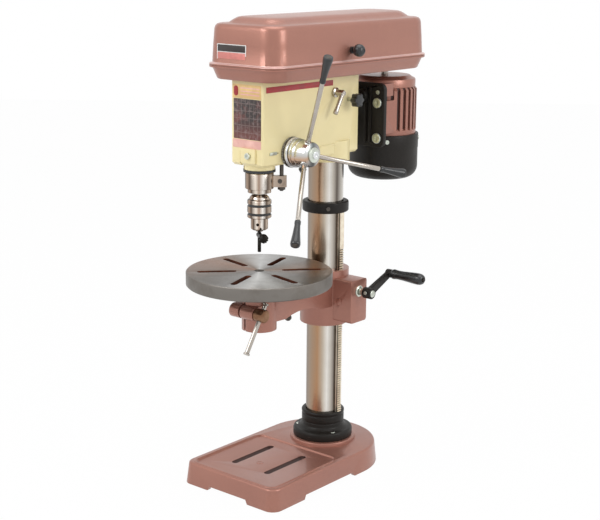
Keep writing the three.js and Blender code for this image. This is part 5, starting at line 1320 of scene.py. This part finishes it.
def build_feed():
    """The depth dial, the feed hub with its three handles, and the spring housing."""
    centre = at(0, FEED_Y, FEED_Z)
    build_dial(centre)
    hub = spun("hub_dressed", [
        (0, 56), (27.6, 56), (28.5, 56.8), (28.5, 60), (27.7, 60.5), (27.7, 61.3), (28.2, 61.7),
        (27.1, 70), (26.5, 70.4), (26.5, 71.2), (26.9, 71.6), (24.1, 93), (23, 95.6), (20.6, 97),
        (0, 97),
    ], centre, RIGHT)
    fit_out(soften(hub, 0.5), "hub", "feed", "feed_hub")
    profile = [(0, 97.2), (15, 97.2), (15, 99.6), (13.2, 101.2), (0, 101.3)]
    fit_out(soften(spun("cap_dressed", profile, centre, RIGHT), 0.3), "zinc", "feed", "hub_cap")
    nut = bolt("cap_nut", centre + RIGHT * mm(101.2), RIGHT, 7.6, 3.4)
    fit_out(nut, "chrome", "feed")

    cone = math.radians(25.5)
    root = centre + RIGHT * mm(77)
    rod_profile = [(0, 29.2), (4.6, 29.2), (4.6, 165.9), (0, 165.9)]
    seat_profile = closed([(4.7, 21.5), (7.6, 21.5), (7.6, 27.4), (6.4, 28.8), (4.7, 28.8)])
    grip_profile = [
        (0, 166.3), (5.8, 166.3), (6, 167), (6, 172.6), (5.5, 174), (5.7, 178), (7.2, 196),
        (8.9, 211), (9.5, 216), (9.5, 220), (8.7, 222.6), (7.6, 223.2), (7.3, 222.7), (0, 222.7),
    ]
    end_profile = [(0, 222.7), (5.6, 222.7), (5.4, 223.2), (0, 223.4)]
    for handle in range(1, 4):
        around = math.radians(-135 + 120 * handle)
        flat = Vector((0, math.cos(around), math.sin(around)))
        along = RIGHT * math.sin(cone) + flat * math.cos(cone)
        rod = soften(spun(f"feed_rod_dressed_{handle}", rod_profile, root, along, 32), 0.2)
        fit_out(rod, "rod", "feed", f"feed_rod_{handle}")
        seat = soften(spun(f"rod_seat_{handle}", seat_profile, root, along, 32), 0.3)
        fit_out(seat, "chrome", "feed")
        grip = soften(spun(f"feed_grip_dressed_{handle}", grip_profile, root, along, 40), 0.2)
        fit_out(grip, "plastic", "feed", f"feed_grip_{handle}")
        end = soften(spun(f"grip_end_{handle}", end_profile, root, along, 40))
        fit_out(end, "dark", "feed")
    paint_node("feed_pinion", "dark")
    dress_node("spring_housing", "black", "stand", 1.2)


def build_stop(foot):
    """The depth stop: a ring on the quill with an ear, and its rod, nut and clamp screw."""
    ring = spun("stop_ring", closed([
        (23.6, 615.6), (25, 615), (27.4, 615), (28, 615.8), (28, 645), (27.2, 646.5), (23.6, 646.5),
    ]), foot)
    a = math.radians(40)
    ear = block("stop_ear", at(24.5, SPINDLE_Y - 7, 618), at(53, SPINDLE_Y + 7, 640))
    round_along(ear, 2, mm(3), 4)
    ear = move(ear, "stop_ear_turned", turn=(a, "Z", foot))
    place = foot + Vector((math.cos(a), math.sin(a), 0)) * mm(STOP_ROD_REACH)
    bore = spun("stop_bore", [(0, 600), (4.4, 600), (4.4, 660), (0, 660)], place, steps=24)
    inner = spun("stop_inner", [(0, 600), (23.5, 600), (23.5, 660), (0, 660)], foot)
    ring = carve(unite(ring, ear), bore, inner)
    fit_out(soften(ring, 0.6, 35, 35), "quill", "quill", "stop_collar")
    profile = [(0, 610), (3.4, 610), (4, 611), (4, 661), (0, 661.7)]
    rod = spun("stop_rod_dressed", profile, place, steps=28)
    fit_out(soften(rod), "dark", "quill", "stop_rod")
    profile = closed([(4.1, 612.4), (7.4, 612.4), (7.6, 613), (7.6, 617), (7, 617.8), (4.1, 617.8)])
    nut = spun("stop_nut", profile, place, steps=6)
    fit_out(soften(nut, 0.3), "dark", "quill")
    across = Vector((math.sin(a), -math.cos(a), 0))
    side = place - Vector((mm(2.4), mm(2), 0)) + across * mm(7) + UP * mm(630)
    fit_out(bolt("stop_clamp", side, across, 4.4, 3), "dark", "quill")


def build_chuck(foot):
    """The chuck: a cored body with key holes, a sleeve with two knurled rings, and three jaws."""
    body = spun("chuck_dressed", [
        (0, 574.8), (12.5, 574.8), (12.5, 533), (14.4, 533), (16.4, 534.6), (17, 536.5),
        (17, 556.7), (15, 556.7), (15, 593.3), (19.4, 593.3), (20, 594), (19.2, 597),
        (15.4, 601.8), (13.6, 603), (0, 603),
    ], foot, steps=64)
    holes = []
    for index in range(3):
        a = math.tau * (index + 0.5) / 3
        outward = Vector((math.cos(a), math.sin(a), 0))
        profile = [(0, 10), (3, 10), (3, 20), (0, 20)]
        holes.append(spun(f"key_hole_{index}", profile, foot + UP * mm(545), outward, 20))
    carve(body, *holes)
    fit_out(soften(body, 0.3, 35, 30), "chuck", "spindle", "chuck_body")

    grooves = (563, 580)
    profile = [(15.4, 557), (22.4, 557), (23.7, 558.4)]
    for low in grooves:
        profile += [(23.7, low), (22.1, low + 0.6), (22.1, low + 4.4), (23.7, low + 5)]
    profile += [(23.7, 591.4), (22.2, 593), (15.4, 593)]
    sleeve = spun("sleeve_dressed", closed(profile), foot, steps=120)
    fit_out(soften(sleeve, 0.2, 40, 30), "knurl", "chuck_sleeve", "chuck_sleeve")

    def in_groove(face):
        spot = spot_of(face)
        level = any(low + 0.2 < spot.z < low + 4.8 for low in grooves)
        return level and reach_of(spot, SPINDLE_Y) < 23.2

    repaint(sleeve, "rubber", in_groove)
    for index in range(1, 4):
        dress_node(f"chuck_jaw_{index}", "steel", f"jaw_{index}")


def build_key(foot):
    """The chuck key: a bar that hangs in the jaws, a shank across it and a toothed head."""
    centre = foot + UP * mm(KEY_Z)
    a = math.radians(-35)
    along = Vector((math.cos(a), math.sin(a), 0))
    profile = [(0, 487.5), (2.9, 487.5), (3.5, 488.2), (3.5, 570.6), (3, 571), (0, 571)]
    bar = spun("key_bar", profile, foot, steps=28)
    profile = [(0, -6.4), (4.6, -6), (5.2, -5), (5.2, 33), (0, 33)]
    shank = spun("key_shank", profile, centre, along, 32)
    profile = [(0, 32), (8.2, 32), (9, 33), (9, 39), (6.8, 43.6), (6, 44), (0, 44)]
    faces = 40
    gear = spun("key_head", profile, centre, along, faces)
    side = along.cross(UP)

    def between_teeth(face):
        spot = face.center - centre
        share = math.atan2(spot.dot(side), spot.z) / (math.tau / faces)
        outward = abs(face.normal.dot(along)) < 0.9
        return outward and math.floor(share) % 4 < 2 and spot.dot(along) > mm(33.5)

    choose(gear, "polygons", between_teeth)
    bpy.ops.mesh.extrude_region_shrink_fatten(TRANSFORM_OT_shrink_fatten={"value": -mm(1.7)})
    leave()
    key = soften(unite(bar, shank, gear), 0.15, 40, 35)
    fit_out(key, "key", "spindle", "chuck_key")


def build_spindle():
    """The quill with its stop and two dark rings of painted shadow, the spindle, the chuck and its
    key.
    """
    foot = at(0, SPINDLE_Y, 0)
    paint_node("quill", "quill")
    build_stop(foot)
    # Painted shadow: a thin black ring on the quill and a black band round the boss's foot, under
    # the head
    rim = closed([(23.1, 646.9), (27, 646.9), (27, 648.6), (23.1, 648.6)])
    fit_out(soften(spun("quill_rim", rim, foot), 0.2), "rubber", "quill")
    band = closed([(31.1, 648.2), (31.5, 648.2), (31.5, 653.2), (31.1, 653.2)])
    fit_out(spun("boss_band", band, foot), "rubber", "stand")
    dress_node("spindle", "steel", "spindle")
    build_chuck(foot)
    build_key(foot)


# Stage


WHITE = (1.0, 1.0, 1.0)
PAPER = (0.86, 0.86, 0.86)
SKY = (0.72, 0.73, 0.75)
CAMERA_PLACE = (1.6827, -2.0910, 1.0914)
PAPER_SIZE = 14
BACKDROP_PLACE = (-4.2, 4.9, 3)
LAMP_TARGET = Vector((0, 0, 0.5))
# Name, place, side of the square and power
LAMPS = (
    ("key", (-0.9, -2.6, 2.4), 1.6, 42),
    ("side", (2.9, 0.5, 1.9), 1.4, 30),
    ("top", (0.1, 0.0, 3.0), 2.0, 26),
)


def studio_paper(name, share):
    """Matt paper that the camera, metal and glass see as white, and that keeps soft shadows."""
    material = bpy.data.materials.new(name)
    work = NodeWork(material)
    matt = work.node("ShaderNodeBsdfDiffuse", {}, {"Color": PAPER}).outputs[0]
    glow = work.node("ShaderNodeEmission", {}, {"Color": WHITE}).outputs[0]
    mixed = work.node("ShaderNodeMixShader", {}, {0: work.seen(share), 1: matt, 2: glow})
    work.node("ShaderNodeOutputMaterial", {}, {"Surface": mixed.outputs[0]})
    return material


def studio_world():
    """A pale room that is white where it is seen."""
    world = bpy.data.worlds.new("studio")
    work = NodeWork(world)
    soft = work.node("ShaderNodeBackground", {}, {"Color": SKY, "Strength": 0.75}).outputs[0]
    seen = work.node("ShaderNodeBackground", {}, {"Color": WHITE, "Strength": 1.0}).outputs[0]
    mixed = work.node("ShaderNodeMixShader", {}, {0: work.seen(1.0), 1: soft, 2: seen})
    work.node("ShaderNodeOutputWorld", {}, {"Surface": mixed.outputs[0]})
    bpy.context.scene.world = world


def studio_camera(stage):
    """The camera at the photograph's viewing angle."""
    data = bpy.data.cameras.new("photo_camera")
    data.lens = stage.lens
    data.sensor_fit = "HORIZONTAL"
    data.sensor_width = 36
    data.clip_end = 50
    camera = bpy.data.objects.new("photo_camera", data)
    bpy.context.scene.collection.objects.link(camera)
    yaw, pitch, roll = stage.yaw, stage.pitch, stage.roll
    forward = Vector((
        -math.sin(yaw) * math.cos(pitch), math.cos(yaw) * math.cos(pitch), -math.sin(pitch)
    ))
    right = Vector((math.cos(yaw), math.sin(yaw), 0))
    up = right.cross(forward)
    image_right = right * math.cos(roll) + up * math.sin(roll)
    image_up = up * math.cos(roll) - right * math.sin(roll)
    turn = Matrix((image_right, image_up, -forward)).transposed()
    camera.matrix_world = Matrix.Translation(CAMERA_PLACE) @ turn.to_4x4()
    bpy.context.scene.camera = camera


def studio_sheet(name, share, place, turn=(0, 0, 0)):
    """A square sheet of the studio's paper."""
    deselect()
    bpy.ops.mesh.primitive_plane_add(size=PAPER_SIZE, location=place, rotation=turn)
    sheet = settle(name)
    sheet.data.materials.append(studio_paper(name + "_paper", share))
    return sheet


def build_stage():
    studio_camera(bpy.context.scene.drill_press_stage)
    floor = studio_sheet("floor", 0.98, (0, 0, -0.0005))
    upright = (math.pi / 2, 0, math.radians(40))
    backdrop = studio_sheet("backdrop", 1.0, BACKDROP_PLACE, upright)
    for name, place, size, power in LAMPS:
        light = bpy.data.lights.new(name, "AREA")
        light.shape = "SQUARE"
        light.size = size
        light.energy = power
        lamp = bpy.data.objects.new(name, light)
        bpy.context.scene.collection.objects.link(lamp)
        lamp.location = place
        aim = LAMP_TARGET - Vector(place)
        lamp.rotation_euler = aim.to_track_quat("-Z", "Y").to_euler()
    studio_world()
    bpy.context.scene.view_settings.view_transform = "Standard"


# Operators, one for each group of pieces


class DRILLPRESS_OT_stage(bpy.types.Operator):
    """Camera, paper and lamps"""

    bl_idname = "drill_press.stage"
    bl_label = "Stage"

    def execute(self, context):
        build_stage()
        return {"FINISHED"}


class DRILLPRESS_OT_base(bpy.types.Operator):
    """Base casting with its tray and slots"""

    bl_idname = "drill_press.base"
    bl_label = "Base"

    def execute(self, context):
        build_base()
        return {"FINISHED"}


class DRILLPRESS_OT_column(bpy.types.Operator):
    """Column, foot, collar and rack"""

    bl_idname = "drill_press.column"
    bl_label = "Column"

    def execute(self, context):
        build_column()
        return {"FINISHED"}


class DRILLPRESS_OT_table(bpy.types.Operator):
    """Slotted work table"""

    bl_idname = "drill_press.table"
    bl_label = "Table"

    def execute(self, context):
        build_table()
        return {"FINISHED"}


class DRILLPRESS_OT_bracket(bpy.types.Operator):
    """Table bracket and its clamp"""

    bl_idname = "drill_press.bracket"
    bl_label = "Bracket"

    def execute(self, context):
        build_bracket()
        return {"FINISHED"}


class DRILLPRESS_OT_crank(bpy.types.Operator):
    """Lifting crank"""

    bl_idname = "drill_press.crank"
    bl_label = "Crank"

    def execute(self, context):
        build_crank()
        return {"FINISHED"}


class DRILLPRESS_OT_head(bpy.types.Operator):
    """Head casting with plates and pointer"""

    bl_idname = "drill_press.head"
    bl_label = "Head"

    def execute(self, context):
        build_head()
        return {"FINISHED"}


class DRILLPRESS_OT_switch(bpy.types.Operator):
    """Switch box and buttons"""

    bl_idname = "drill_press.switch"
    bl_label = "Switch"

    def execute(self, context):
        build_switch()
        return {"FINISHED"}


class DRILLPRESS_OT_cover(bpy.types.Operator):
    """Belt cover, hinge and knob"""

    bl_idname = "drill_press.cover"
    bl_label = "Cover"

    def execute(self, context):
        build_cover()
        return {"FINISHED"}


class DRILLPRESS_OT_drive(bpy.types.Operator):
    """Pulleys and belts"""

    bl_idname = "drill_press.drive"
    bl_label = "Drive"

    def execute(self, context):
        build_drive()
        return {"FINISHED"}


class DRILLPRESS_OT_motor(bpy.types.Operator):
    """Motor and its mount"""

    bl_idname = "drill_press.motor"
    bl_label = "Motor"

    def execute(self, context):
        build_motor()
        return {"FINISHED"}


class DRILLPRESS_OT_tension(bpy.types.Operator):
    """Tension lever and knob"""

    bl_idname = "drill_press.tension"
    bl_label = "Tension"

    def execute(self, context):
        build_tension()
        return {"FINISHED"}


class DRILLPRESS_OT_feed(bpy.types.Operator):
    """Dial, hub and handles"""

    bl_idname = "drill_press.feed"
    bl_label = "Feed"

    def execute(self, context):
        build_feed()
        return {"FINISHED"}


class DRILLPRESS_OT_spindle(bpy.types.Operator):
    """Quill, stop and chuck"""

    bl_idname = "drill_press.spindle"
    bl_label = "Spindle"

    def execute(self, context):
        build_spindle()
        return {"FINISHED"}


OPERATORS = (
    DRILLPRESS_OT_stage,
    DRILLPRESS_OT_base,
    DRILLPRESS_OT_column,
    DRILLPRESS_OT_table,
    DRILLPRESS_OT_bracket,
    DRILLPRESS_OT_crank,
    DRILLPRESS_OT_head,
    DRILLPRESS_OT_switch,
    DRILLPRESS_OT_cover,
    DRILLPRESS_OT_drive,
    DRILLPRESS_OT_motor,
    DRILLPRESS_OT_tension,
    DRILLPRESS_OT_feed,
    DRILLPRESS_OT_spindle,
)


class DRILLPRESS_PT_panel(bpy.types.Panel):
    """Lists the pieces."""

    bl_label = "Drill Press"
    bl_idname = "DRILLPRESS_PT_panel"
    bl_space_type = "VIEW_3D"
    bl_region_type = "UI"
    bl_category = "Drill Press"

    def draw(self, context):
        for operator in OPERATORS:
            self.layout.operator(operator.bl_idname)


GROUPS = {
    "drill_press_colours": DrillPressColours,
    "drill_press_sizes": DrillPressSizes,
    "drill_press_stage": DrillPressStage,
}
CLASSES = (*GROUPS.values(), *OPERATORS, DRILLPRESS_PT_panel)


def register():
    for member in CLASSES:
        bpy.utils.register_class(member)
    for name, group in GROUPS.items():
        setattr(bpy.types.Scene, name, PointerProperty(type=group))


def unregister():
    for name in GROUPS:
        delattr(bpy.types.Scene, name)
    for member in reversed(CLASSES):
        bpy.utils.unregister_class(member)


def main():
    register()
    make_finishes()
    for operator in OPERATORS:
        group, name = operator.bl_idname.split(".")
        getattr(getattr(bpy.ops, group), name)()


if __name__ == "__main__":
    main()
